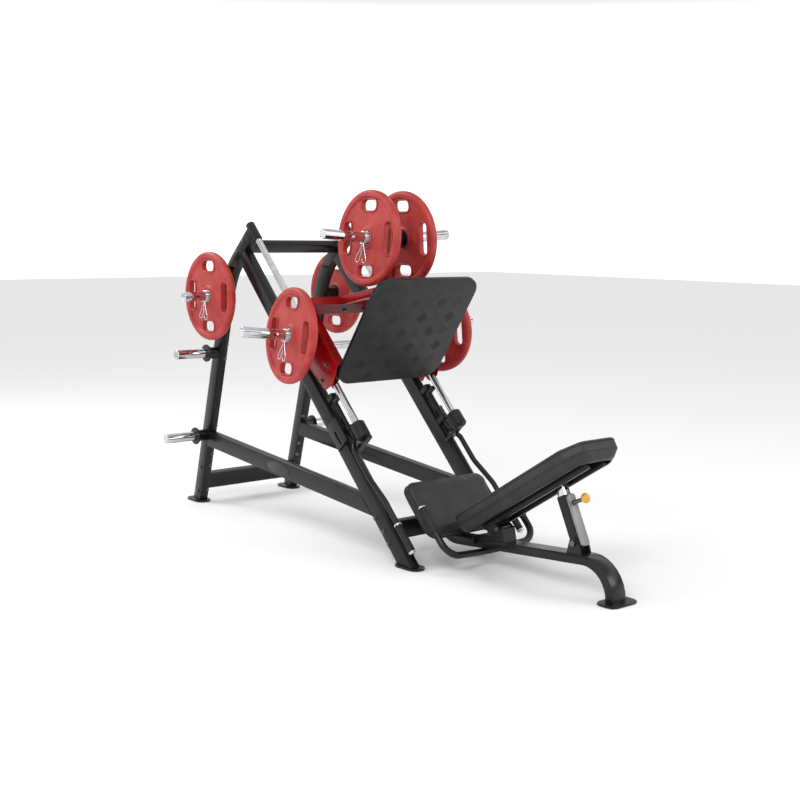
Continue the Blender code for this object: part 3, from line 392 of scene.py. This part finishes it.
def slab(outline, thickness, matrix, edge, segments=3):
    """A flat outline with rounded edges, its middle on the matrix's plane."""
    bm = bmesh.new()
    verts = [bm.verts.new((x, y, -thickness / 2)) for x, y in outline]
    base = bm.faces.new(verts)
    made = bmesh.ops.extrude_face_region(bm, geom=[base])
    top = [item for item in made["geom"] if isinstance(item, bmesh.types.BMVert)]
    bmesh.ops.translate(bm, vec=(0.0, 0.0, thickness), verts=top)
    bmesh.ops.recalc_face_normals(bm, faces=bm.faces[:])
    if edge:
        rims = [e for e in bm.edges if abs(e.verts[0].co.z - e.verts[1].co.z) < 1e-6]
        bmesh.ops.bevel(
            bm, geom=rims, offset=edge, segments=segments, profile=0.5, affect="EDGES"
        )
    bmesh.ops.transform(bm, matrix=matrix, verts=bm.verts[:])
    return mesh_of(bm, "slab")


# Steelwork carried over from the CAD
def smooth_node(node):
    """Shades a CAD node's round faces smooth without changing its vertices."""
    mesh = node.data
    for custom in [a for a in mesh.attributes if a.name == "custom_normal"]:
        mesh.attributes.remove(custom)
    mesh.shade_smooth()
    weld = node.modifiers.new("weld", "WELD")
    weld.merge_threshold = 0.00002
    split = node.modifiers.new("sharp edges", "EDGE_SPLIT")
    split.split_angle = math.radians(32)


def finish_of(node):
    if node.endswith("_bolt"):
        return BOLT_STEEL
    if node.endswith("_bearing"):
        return STEEL
    if node.endswith("guide_rod") or node == "strut_bar":
        return CHROME
    if node.endswith("bumper"):
        return BLACK_RUBBER
    red = ("slider_channel", "footplate_arm", "carriage_crossbar", "horn_post")
    return RED if node.endswith(red) else BLACK


def carry_over():
    for name, node in NODES.items():
        finish = finish_of(name)
        node.data.materials.clear()
        node.data.materials.append(finish)
        smooth_node(node)


# Weight plates, horns and clips
def plate_profile():
    """Half of the section through a plate: hub, dished web and raised rim."""
    face = PLATE_THICKNESS / 2
    half = [
        (0.0315, face - 0.0010),
        (0.047, face - 0.0010),
        (0.056, face - WEB_DEPTH),
        (0.184, face - WEB_DEPTH),
        (0.187, face - 0.0095),
        (0.195, face - 0.0002),
        (0.214, face),
        (PLATE_RADIUS - 0.0005, face - WEB_DEPTH),
    ]
    whole = half + [(PLATE_RADIUS, 0.0)] + [(r, -h) for r, h in reversed(half)]
    return softened(whole, 0.0030, closed=True)


def grip_slots():
    """Each grip slot as (matrix, length along X, width along Y)."""
    spots = ((90, 0.1535, 0.106, 0.050), (0, 0.150, 0.150, 0.050))
    for turn, reach, length, width in spots:
        for flip in (0, 180):
            stand = Matrix.Rotation(math.radians(turn + flip), 4, "Z")
            stand = stand @ Matrix.Translation((reach, 0.0, 0.0))
            yield stand @ Matrix.Rotation(math.radians(90), 4, "Z"), length, width


def plate_mesh():
    """A rubber-coated plate with four lipped grip slots, about the origin."""
    disc = bpy.data.objects.new("disc", turned(plate_profile(), Matrix(), 128, closed=True))
    bpy.context.scene.collection.objects.link(disc)
    cutters = []
    lips = []
    for place, length, width in grip_slots():
        outline = rounded_rectangle(length, width, width / 2 - 0.004)
        cutter = bpy.data.objects.new("slot", slab(outline, 0.1, place, 0.0))
        bpy.context.scene.collection.objects.link(cutter)
        cutters.append(cutter)
        modifier = disc.modifiers.new("slot", "BOOLEAN")
        modifier.object = cutter
        modifier.operation = "DIFFERENCE"
        modifier.solver = "EXACT"
        rim = rounded_rectangle(length + 2 * SLOT_LIP, width + 2 * SLOT_LIP, width / 2)
        for face in (1, -1):
            height = face * (PLATE_THICKNESS / 2 - 0.0075)
            ring = [place @ Vector((x, y, height)) for x, y in rim]
            lips.append(wire(spread(ring, 0.006), SLOT_LIP, closed=True, resolution=3))
    mesh = joined("plate", baked(disc), *lips)
    for cutter in cutters:
        bpy.data.objects.remove(cutter, do_unlink=True)
    return mesh


def weight_plate(name, stand, mesh):
    """A plate with a metal ring in its hub."""
    rubber = mesh.copy()
    rubber.transform(stand)
    piece(f"{name}_rubber", rubber, PLATE_RED, name, [name], 30)
    face = PLATE_THICKNESS / 2
    ring = [(PLATE_BORE, face), (0.0318, face), (0.0318, -face), (PLATE_BORE, -face)]
    piece(f"{name}_hub", turned(softened(ring, 0.0012, True), stand, 64, True), STEEL, name)


def horn(node, base, direction, stub, reach, body):
    """A chrome sleeve with a chamfered end, on a painted stub and flange."""
    stand = along_z(base, direction)
    flange = stub + FLANGE_THICKNESS
    sleeve = [
        (0.0, reach - 0.0015),
        (0.0185, reach - 0.0015),
        (0.0190, reach),
        (SLEEVE_RADIUS - 0.003, reach),
        (SLEEVE_RADIUS, reach - 0.003),
        (SLEEVE_RADIUS, flange + 0.0005),
        (0.0, flange + 0.0005),
    ]
    piece(f"{node}_sleeve", turned(softened(sleeve, 0.0012), stand, 64), CHROME, body, [node])
    root = [
        (0.0, flange),
        (FLANGE_RADIUS, flange),
        (FLANGE_RADIUS, stub),
        (STUB_RADIUS, stub),
        (STUB_RADIUS, 0.0),
        (0.0, 0.0),
    ]
    piece(f"{node}_flange", turned(softened(root, 0.0015), stand, 64), BLACK, body)


def clip_handle(stand, angle, lift, lean):
    """One hanging wire loop of a spring clip."""
    turn = math.radians(angle)
    spoke = Vector((math.cos(turn), math.sin(turn), 0.0))
    across = Vector((-spoke.y, spoke.x, 0.0))
    half = 0.0135
    points = [(0.028, 0.30), (0.060, 0.50), (0.098, 0.98)]
    side = [spoke * reach + across * half * share for reach, share in points]
    tip = [
        spoke * (0.107 + half * math.sin(a)) + across * half * math.cos(a)
        for a in arc(0, 180, 10)
    ]
    other = [spoke * reach - across * half * share for reach, share in reversed(points)]
    path = [p + Vector((0, 0, lift + lean * (p.length - 0.028))) for p in side + tip + other]
    return wire([stand @ p for p in path], WIRE_RADIUS)


def spring_clip(node, centre, direction):
    """A coil of spring wire round the sleeve with two looped handles."""
    stand = upright_axes(centre, direction)
    turns, steps, pitch, radius = 3.1, 100, 0.0052, SLEEVE_RADIUS + 0.0030
    coil = []
    for step in range(steps + 1):
        share = step / steps
        angle = math.radians(-95) + math.tau * turns * share
        height = (share - 0.5) * turns * pitch
        coil.append(stand @ Vector((radius * math.cos(angle), radius * math.sin(angle), height)))
    handles = [clip_handle(stand, -76, 0.008, 0.03), clip_handle(stand, -110, -0.008, 0.10)]
    mesh = joined(node, wire(coil, COIL_RADIUS), *handles)
    piece(f"{node}_spring", mesh, CHROME, node, [node])


def loaded_horn(key, base, direction, stub, reach, body, plate):
    """A horn, with a plate and its clip where the CAD has them."""
    direction = direction.normalized()
    horn(f"{key}_horn", base, direction, stub, reach, body)
    if f"{key}_plate" not in NODES:
        return
    start = stub + FLANGE_THICKNESS + 2 * GAP
    plate_centre = base + direction * (start + PLATE_THICKNESS / 2)
    weight_plate(f"{key}_plate", upright_axes(plate_centre, direction), plate)
    clip_centre = base + direction * (start + PLATE_THICKNESS + 2 * GAP + 0.013)
    spring_clip(f"{key}_clip", clip_centre, direction)


def all_horns():
    plate = plate_mesh()
    for hand, sign in SIDES.items():
        for level, height in STORAGE_HEIGHTS.items():
            x = UPRIGHT_FOOT_X + UPRIGHT_LEAN * height
            base = Vector((x, sign * (GAUGE + TUBE_HALF + GAP), height))
            loaded_horn(f"{hand}_storage_{level}", base, SIDEWAYS * sign, 0.055, 0.240, "frame", plate)
        tilt = Vector((-0.1107, sign, 0.106)).normalized()
        base = rail_point(-0.3907, 0.0576, sign * (GAUGE + CHANNEL_HALF + GAP)) + tilt * 0.0052
        loaded_horn(f"{hand}_side", base, tilt, 0.098, 0.385, "carriage", plate)
        tilt = Vector((0.0, sign, 0.0718)).normalized()
        base = Vector((POST_X, sign * 0.0283, 1.4308)) + tilt * 0.0026
        loaded_horn(f"{hand}_top", base, tilt, 0.052, 0.352, "carriage", plate)


# Footplate
def footplate_frame(depth):
    """A matrix with Z out of the footplate, a depth below its face, and X up it."""
    up_plate = OUT * math.cos(FOOTPLATE_TILT) - DOWN * math.sin(FOOTPLATE_TILT)
    facing = DOWN * math.cos(FOOTPLATE_TILT) + OUT * math.sin(FOOTPLATE_TILT)
    face = rail_point(FOOTPLATE_ALONG, FOOTPLATE_ABOVE)
    return axes(face - facing * depth, up_plate, facing)


def tread_bars():
    """Groups of short raised bars that lean one way and the other in turn."""
    bars = []
    rows, columns, pitch = 6, 6, 0.086
    bar_length, bar_width, spacing = 0.046, 0.0044, 0.0120
    outline = rounded_rectangle(bar_length, bar_width, bar_width / 2 - 0.0002, 3)
    for row in range(rows):
        for column in range(columns):
            x = -0.052 + (row - (rows - 1) / 2) * pitch
            y = (column - (columns - 1) / 2) * pitch
            lean = math.radians(45 if (row + column) % 2 else -45)
            group = Matrix.Translation((x, y, TREAD_RELIEF / 2)) @ Matrix.Rotation(lean, 4, "Z")
            for index in range(4):
                place = group @ Matrix.Translation((0.0, (index - 1.5) * spacing, 0.0))
                corner = place.translation
                if abs(corner.x) < 0.27 and abs(corner.y) < 0.28:
                    bars.append(slab(outline, TREAD_RELIEF, place, TREAD_RELIEF * 0.30, 1))
    return bars


def footplate_tread():
    """The rubber sheet with its raised bars."""
    depth = TREAD_SHEET - TREAD_RELIEF
    outline = rounded_rectangle(FOOTPLATE_HEIGHT, FOOTPLATE_WIDTH, FOOTPLATE_CORNER, 12)
    sheet = slab(outline, depth, Matrix(), 0.0035, 4)
    sheet.transform(Matrix.Translation((0.0, 0.0, -depth / 2)))
    mesh = joined("footplate_tread_rubber", sheet, *tread_bars())
    mesh.transform(footplate_frame(TREAD_RELIEF))
    piece("footplate_tread_rubber", mesh, TREAD_RUBBER, "carriage", ["footplate_tread"])


# Pads
def hollowed(block, hem):
    """Hollows the back pad's underside, open at the seat end, to take its sheet."""
    reach = 0.10
    outline = rounded_rectangle(BACK_LENGTH - 0.058 + reach, BACK_WIDTH - 0.058, 0.05)
    middle = Matrix.Translation((-reach / 2, 0.0, hem - 0.05))
    hollow = bpy.data.objects.new("hollow", slab(outline, 0.10, middle, 0.004, 2))
    bpy.context.scene.collection.objects.link(hollow)
    cut = block.modifiers.new("hollow", "BOOLEAN")
    cut.operation = "DIFFERENCE"
    cut.object = hollow
    return hollow


def undercut(mesh, hem):
    """Draws the back pad's rim in below its hem, more at the sides than at the head end."""
    for vertex in mesh.vertices:
        low = max(0.0, hem - vertex.co.z) / BACK_SKIRT
        vertex.co.y -= math.copysign(min(abs(vertex.co.y), 0.026 * low), vertex.co.y)
        vertex.co.x -= 0.020 * low * max(0.0, vertex.co.x) / (BACK_LENGTH / 2)


def pad_form(outline, thickness, place, bulge, hem=None, spacing=0.006):
    """A padded block: remeshed, blown up by cloth pressure over its flat base, and smoothed."""
    block = bpy.data.objects.new("pad", slab(outline, thickness, Matrix(), PAD_EDGE, 4))
    bpy.context.scene.collection.objects.link(block)
    cutter = None if hem is None else hollowed(block, hem)
    remesh = block.modifiers.new("even skin", "REMESH")
    remesh.mode = "VOXEL"
    remesh.voxel_size = spacing
    skin = bpy.data.objects.new("pad_skin", baked(block))
    if cutter:
        bpy.data.objects.remove(cutter, do_unlink=True)
        undercut(skin.data, hem)
    bpy.context.scene.collection.objects.link(skin)
    rest = [v.co.copy() for v in skin.data.vertices]
    blow_up(skin, thickness, rest, bulge)
    subdivision = skin.modifiers.new("fine skin", "SUBSURF")
    subdivision.levels = subdivision.render_levels = 1
    mesh = baked(skin)
    mesh.transform(place)
    return mesh


def faces_in(vertex):
    """Whether a place on a pad's underside looks down or inwards."""
    return vertex.co.z < 0 and vertex.normal.x * vertex.co.x + vertex.normal.y * vertex.co.y < 0


def blow_up(skin, thickness, rest, bulge):
    """Runs the cloth simulation and keeps each point within the bulge of its rest place."""
    base = skin.vertex_groups.new(name="base")
    floor = -thickness / 2 + 0.008
    held = [v.index for v in skin.data.vertices if v.co.z < floor or faces_in(v)]
    base.add(held, 1.0, "REPLACE")
    cloth = skin.modifiers.new("cloth", "CLOTH")
    cloth.settings.vertex_group_mass = "base"
    cloth.settings.use_pressure = True
    cloth.settings.uniform_pressure_force = 4.0
    cloth.settings.effector_weights.gravity = 0.0
    cloth.settings.quality = 4
    cloth.point_cache.frame_end = CLOTH_FRAMES
    scene = bpy.context.scene
    for number in range(1, CLOTH_FRAMES + 1):
        scene.frame_set(number)
    graph = bpy.context.evaluated_depsgraph_get()
    moved = [v.co.copy() for v in skin.evaluated_get(graph).data.vertices]
    skin.modifiers.remove(cloth)
    scene.frame_set(1)
    for vertex, start, end in zip(skin.data.vertices, rest, moved):
        step = end - start
        if step.length > 1e-9:
            step *= bulge * math.tanh(step.length / bulge) / step.length
        vertex.co = start + step


def on_surface(mesh, points):
    """The nearest place on a mesh to each point."""
    faces = [polygon.vertices[:] for polygon in mesh.polygons]
    tree = BVHTree.FromPolygons([vertex.co for vertex in mesh.vertices], faces)
    return [tree.find_nearest(point)[0] for point in points]


def sew(mesh, lines, width, depth):
    """Draws the skin in along lines, as a row of stitches does."""
    points = [point for line in lines for point in line]
    tree = KDTree(len(points))
    for index, point in enumerate(points):
        tree.insert(point, index)
    tree.balance()
    normals = [vertex.normal.copy() for vertex in mesh.vertices]
    for vertex, normal in zip(mesh.vertices, normals):
        reach = tree.find(vertex.co)[2]
        if reach < 3 * width:
            vertex.co -= normal * depth * math.exp(-((reach / width) ** 2))


def rim_line(outline, height, place):
    return spread([place @ Vector((x, y, height)) for x, y in outline], 0.004)


def upholstered(name, outline, thickness, place, body, bulge, seams, heights):
    """A pad with drawn-in seams and a welt along each of its rim seams, at two heights."""
    hem = heights[0] if name == "back_pad" else None
    mesh = pad_form(outline, thickness, place, bulge, hem)
    rims = [on_surface(mesh, rim_line(outline, height, place)) for height in heights]
    lines = [on_surface(mesh, [place @ point for point in seam]) for seam in seams]
    sew(mesh, rims + lines, SEAM_WIDTH, SEAM_DEPTH)
    pad = piece(f"{name}_skin", mesh, VINYL, body, [name], 60)
    for index, rim in enumerate(rims):
        piece(f"{name}_welt_{index}", wire(rim, WELT_RADIUS, closed=True), VINYL, body)


def seat():
    middle = (SEAT_FRONT + SEAT_REAR) / 2
    place = axes(rail_point(middle, SEAT_UNDERSIDE + SEAT_THICKNESS / 2), DOWN, OUT)
    outline = rounded_rectangle(SEAT_REAR - SEAT_FRONT, SEAT_WIDTH, SEAT_CORNER)
    heights = (0.009 - SEAT_THICKNESS / 2, SEAT_THICKNESS / 2 - 0.011)
    upholstered("seat_pad", outline, SEAT_THICKNESS, place, "frame", 0.007, [], heights)


def back_outline():
    """The back pad's outline: round at the seat end, its head end drawn in to a narrower edge."""
    length, width, radius = BACK_LENGTH / 2, BACK_WIDTH / 2, 0.06
    half = [(length, 0.080), (length - 0.004, 0.098), (length - 0.016, 0.112)]
    half += [(length - 0.078, width - 0.004), (length - 0.092, width), (-length + radius, width)]
    for angle in arc(10, 90, 7):
        along = -length + radius - radius * math.sin(angle)
        half.append((along, width - radius + radius * math.cos(angle)))
    return half + [(x, -y) for x, y in reversed(half)]


def back():
    depth = BACK_THICKNESS + BACK_SKIRT
    place = back_place(BACK_START + BACK_LENGTH / 2, BACK_UNDERSIDE - BACK_SKIRT + depth / 2)
    fold = BACK_LENGTH / 2 - 0.085
    hem = BACK_SKIRT - depth / 2
    seams = []
    for side in (1, -1):
        points = [Vector((fold, side * BACK_WIDTH / 2, z)) for z in (hem, depth / 2 - 0.010)]
        seams.append(spread(points, 0.003, False))
    heights = (hem, depth / 2 - 0.011)
    upholstered("back_pad", back_outline(), depth, place, "back_rest", 0.006, seams, heights)


# Round bars, knob and small fittings
def cap(name, at, direction, radius, length, body):
    """A domed chrome end cap."""
    dome = [(0.0, length), (radius * 0.55, length * 0.93), (radius * 0.9, length * 0.6)]
    dome += [(radius, length * 0.25), (radius, 0.0), (0.0, 0.0)]
    piece(name, turned(softened(dome, 0.001), along_z(at, direction), 40), CHROME, body)


def handle_bar():
    """The bent bar under the seat beam, with a grip and a cap on each end."""
    low = beam_bottom(HANDLE_X) - HANDLE_RADIUS - 0.0006
    points = []
    for sign in SIDES.values():
        tip = rail_point(HANDLE_TOP, HANDLE_ABOVE, sign * HANDLE_SIDE)
        corner = rail_point(HANDLE_FOOT, HANDLE_ABOVE, sign * HANDLE_SIDE)
        middle = Vector((HANDLE_X, sign * HANDLE_FLAT, low))
        points = [tip, corner, middle] if sign < 0 else points + [middle, corner, tip]
    path = rounded_path(points, [0.07, 0.15, 0.15, 0.07], 12)
    piece("handle_bar_tube", wire(path, HANDLE_RADIUS, resolution=8), BLACK, "frame", ["handle_bar"])
    for hand, sign in SIDES.items():
        start = rail_point(HANDLE_TOP + 0.012, HANDLE_ABOVE, sign * HANDLE_SIDE)
        end = rail_point(HANDLE_TOP + 0.130, HANDLE_ABOVE, sign * HANDLE_SIDE)
        grip = wire(spread([start, end], 0.01, False), HANDLE_RADIUS + 0.0022, resolution=8)
        piece(f"{hand}_handle_grip", grip, BLACK_RUBBER, "frame", sharp=50)
        tip = rail_point(HANDLE_TOP, HANDLE_ABOVE, sign * HANDLE_SIDE)
        cap(f"{hand}_handle_cap", tip, -DOWN, HANDLE_RADIUS + 0.0022, 0.012, "frame")


def beam_bottom(x):
    """The height of the seat beam's lower face."""
    dip_x, dip_z, top_x, top_z, depth = 0.430, 0.0885, 1.21, 0.1525, 0.04
    return dip_z + (x - dip_x) * (top_z - dip_z) / (top_x - dip_x) - depth / 2


def lock_lever(hand, sign):
    """A cranked lever with its lug, a ribbed grip, a chrome collar and a cap."""
    route = [(-0.145, LEVER_ABOVE, LEVER_SIDE), (0.118, LEVER_ABOVE, LEVER_SIDE)]
    route += [(along, LEVER_RUN_ABOVE, LEVER_RUN_SIDE) for along in (0.178, 0.320)]
    route += [(along, LEVER_GRIP_ABOVE, LEVER_GRIP_SIDE) for along in (0.475, 0.748)]
    points = [rail_point(along, above, sign * side) for along, above, side in route]
    bar = wire(rounded_path(points, [0.03, 0.03, 0.12, 0.12]), LEVER_RADIUS, resolution=8)
    shaft = sign * LEVER_SIDE
    lug = slab(
        rounded_rectangle(0.020, 0.020, 0.003, 3),
        0.057,
        axes(rail_point(-0.100, LEVER_ABOVE + 0.0165, shaft), DOWN, OUT),
        0.0015,
    )
    mesh = joined("lever", bar, lug)
    body = f"{hand}_lever"
    piece(f"{hand}_lever_bar", mesh, BLACK, body, [f"{hand}_lock_lever"])
    stand = along_z(rail_point(0.610, LEVER_GRIP_ABOVE, sign * LEVER_GRIP_SIDE), DOWN)
    grip = [(0.013, 0.0), (0.0155, 0.0)]
    for ridge in range(9):
        grip += [(0.0170, 0.006 + ridge * 0.0142), (0.0170, 0.0145 + ridge * 0.0142)]
        grip += [(0.0160, 0.0165 + ridge * 0.0142), (0.0160, 0.0190 + ridge * 0.0142)]
    grip += [(0.0155, 0.136), (0.013, 0.136)]
    piece(f"{hand}_lever_sleeve", turned(grip, stand, 40, True), BLACK_RUBBER, body, sharp=50)
    collar = softened([(0.0130, -0.008), (0.0185, -0.008), (0.0185, 0.0), (0.0130, 0.0)], 0.001, True)
    piece(f"{hand}_lever_collar", turned(collar, stand, 40, True), CHROME, body)
    end = rail_point(0.746, LEVER_GRIP_ABOVE, sign * LEVER_GRIP_SIDE)
    cap(f"{hand}_lever_cap", end, DOWN, 0.0175, 0.012, body)


def strut_frame():
    """The strut's direction and the direction out of its outer face."""
    head = back_place(STRUT_HEAD_ALONG, STRUT_HEAD_ABOVE).translation
    direction = (head - STRUT_FOOT).normalized()
    return direction, SIDEWAYS.cross(direction)


def pull_knob():
    """A yellow mushroom knob on a dark steel shank."""
    direction, across = strut_frame()
    stand = along_z(STRUT_FOOT + direction * KNOB_ALONG, across)
    face = STRUT_SIZE / 2
    head = face + KNOB_SHANK
    knob = [(0.0, head + 0.028), (0.012, head + 0.0275), (0.0205, head + 0.021)]
    knob += [(0.0225, head + 0.013), (0.0175, head + 0.005), (0.0105, head), (0.0, head)]
    mesh = turned(softened(knob, 0.004, steps=4), stand, 48)
    piece("pull_knob_head", mesh, YELLOW, "pull_knob", ["pull_knob"], 50)
    shank = [(0.0, head), (0.0085, head), (0.0085, face + 0.030), (0.0105, face + 0.029)]
    shank += [(0.0105, face + 0.012), (0.0085, face + 0.011)]
    shank += [(0.0085, face + 0.001), (0.0, face + 0.001)]
    piece("pull_knob_shank", turned(softened(shank, 0.0008), stand, 40), BOLT_STEEL, "pull_knob")


def strut_reflection():
    """A light grey strip on the strut's outer face, a painted reflection: it stands for the shine that the
    strut's black gloss paint mirrors there.
    """
    direction, across = strut_frame()
    depth = 0.012
    middle = STRUT_FOOT + direction * 0.087 + across * (STRUT_SIZE / 2 + depth / 2)
    outline = rounded_rectangle(0.222, STRUT_SIZE - 0.004, 0.014)
    strip = slab(outline, depth, axes(middle, direction, across), 0.0015, 3)
    piece("strut_reflection_strip", strip, REFLECTION_GREY, "strut_sleeve")


def badge(hand, sign):
    """A blank oval plate on the low side tube."""
    fall = Vector((1.0, 0.0, -0.092)).normalized()
    centre = Vector((-0.54, sign * (GAUGE + TUBE_HALF + 0.0008), 0.2989))
    outline = [(0.092 * math.cos(a), 0.028 * math.sin(a)) for a in arc(0, 352.5, 47)]
    place = axes(centre, fall, SIDEWAYS * sign)
    piece(f"{hand}_badge", slab(outline, 0.0016, place, 0.0005, 2), BADGE, "frame")


def bolt(at, outward, size):
    """A hexagon head on its washer."""
    stand = along_z(at, outward)
    wide, face = size * 1.25, 0.0016
    washer = softened([(0.0, face), (wide, face), (wide, -0.001), (0.0, -0.001)], 0.0004)
    hexagon = [(size * math.cos(a), size * math.sin(a)) for a in arc(0, 300, 5)]
    middle = stand @ Matrix.Translation((0, 0, face + size * 0.375))
    return [turned(washer, stand, 28), slab(hexagon, size * 0.75, middle, 0.0009, 2)]


def bolt_set(name, body, spots):
    meshes = [mesh for spot in spots for mesh in bolt(*spot)]
    piece(name, joined(name, *meshes), BOLT_STEEL, body)


def bolts():
    """Bolts on the uprights, rails, channels and crossbar."""
    frame_spots = []
    carriage_spots = []
    lean = Vector((UPRIGHT_LEAN, 0.0, 1.0)).normalized()
    front = Vector((lean.z, 0.0, -lean.x))
    for sign in SIDES.values():
        for height in (1.060, 0.880, 0.806, 0.440, 0.280, 0.214, 0.074):
            middle = Vector((UPRIGHT_FOOT_X + UPRIGHT_LEAN * height, sign * 0.286, height))
            frame_spots.append((middle + front * 0.0315, front, 0.0080))
        outer = sign * (GAUGE + TUBE_HALF)
        outward = SIDEWAYS * sign
        rail_spots = ((0.4905, -0.160), (0.5675, -0.152), (0.6285, -0.160), (-1.1345, -0.076))
        for along, above in rail_spots + ((-1.1295, -0.151),):
            frame_spots.append((rail_point(along, above, outer), outward, 0.0085))
        for height in (0.060, 0.192):
            x = UPRIGHT_FOOT_X + UPRIGHT_LEAN * height
            frame_spots.append((Vector((x, outer, height)), outward, 0.0085))
        wall = sign * (GAUGE + CHANNEL_HALF)
        for along, above in ((-0.2405, 0.041), (-0.2105, -0.045), (-0.530, 0.055)):
            carriage_spots.append((rail_point(along, above, wall), outward, 0.009))
        for side in (0.012, 0.130):
            carriage_spots.append((rail_point(-0.4995, 0.120, sign * side), DOWN, 0.0085))
    bolt_set("frame_bolts", "frame", frame_spots)
    bolt_set("carriage_bolts", "carriage", carriage_spots)


# Stage
def studio():
    """A pale floor, a pale sky and three softboxes."""
    bm = bmesh.new()
    bmesh.ops.create_grid(bm, x_segments=2, y_segments=2, size=30.0)
    floor = bpy.data.objects.new("floor", mesh_of(bm, "floor"))
    floor.location.z = -0.0005
    pale = bpy.data.materials.new("pale_floor")
    pale.use_nodes = True
    shader = pale.node_tree.nodes["Principled BSDF"]
    shader.inputs["Base Color"].default_value = (0.92, 0.92, 0.92, 1.0)
    shader.inputs["Roughness"].default_value = 0.9
    floor.data.materials.append(pale)
    bpy.context.scene.collection.objects.link(floor)
    world = bpy.data.worlds.new("studio")
    world.use_nodes = True
    sky(world.node_tree)
    bpy.context.scene.world = world
    bpy.context.scene.view_settings.view_transform = "Standard"
    softbox("key", Vector((3.0, -4.4, 4.4)), 2.2, 130.0)
    softbox("fill", Vector((5.0, 3.0, 2.8)), 2.0, 60.0)
    softbox("rim", Vector((-4.2, -2.2, 3.8)), 1.8, 90.0)


def sky(tree):
    """White at and below the horizon, with dark bands overhead for the chrome to show."""
    place = tree.nodes.new("ShaderNodeTexCoord").outputs["Generated"]
    parts = tree.nodes.new("ShaderNodeSeparateXYZ")
    ramp = tree.nodes.new("ShaderNodeValToRGB")
    shades = ((0.16, 1.0), (0.20, 0.05), (0.36, 0.05), (0.42, 0.95), (0.60, 1.0), (0.72, 0.35), (1.0, 0.85))
    for height, shade in shades[2:]:
        ramp.color_ramp.elements.new(height)
    for element, (height, shade) in zip(ramp.color_ramp.elements, shades):
        element.position = height
        element.color = (shade, shade, shade, 1.0)
    tree.links.new(place, parts.inputs["Vector"])
    tree.links.new(parts.outputs["Z"], ramp.inputs["Fac"])
    tree.links.new(ramp.outputs["Color"], tree.nodes["Background"].inputs["Color"])
    tree.nodes["Background"].inputs["Strength"].default_value = 1.35


def softbox(name, place, size, power):
    """A square lamp aimed at the middle of the machine."""
    lamp = bpy.data.lights.new(name, "AREA")
    lamp.size = size
    lamp.energy = power
    obj = bpy.data.objects.new(name, lamp)
    obj.location = place
    obj.rotation_euler = (Vector((0.0, 0.0, 0.7)) - place).to_track_quat("-Z", "Y").to_euler()
    bpy.context.scene.collection.objects.link(obj)


def camera():
    """The camera, where the fit puts it."""
    yaw, pitch, roll = map(math.radians, (CAMERA_YAW, CAMERA_PITCH, CAMERA_ROLL))
    forward = Vector((-math.sin(yaw) * math.cos(pitch), math.cos(yaw) * math.cos(pitch), math.sin(pitch)))
    right = forward.cross(UP).normalized()
    up = right.cross(forward)
    level = right * math.cos(roll) + up * math.sin(roll)
    top = up * math.cos(roll) - right * math.sin(roll)
    turn = Matrix((level, top, -forward)).transposed().to_4x4()
    lens = bpy.data.cameras.new("camera")
    lens.lens = CAMERA_LENS
    lens.sensor_width = 36.0
    obj = bpy.data.objects.new("camera", lens)
    obj.matrix_world = Matrix.Translation(CAMERA_PLACE) @ turn
    bpy.context.scene.collection.objects.link(obj)
    bpy.context.scene.camera = obj


carry_over()
all_horns()
footplate_tread()
seat()
back()
handle_bar()
for hand, sign in SIDES.items():
    lock_lever(hand, sign)
    badge(hand, sign)
pull_knob()
strut_reflection()
bolts()
studio()
camera()
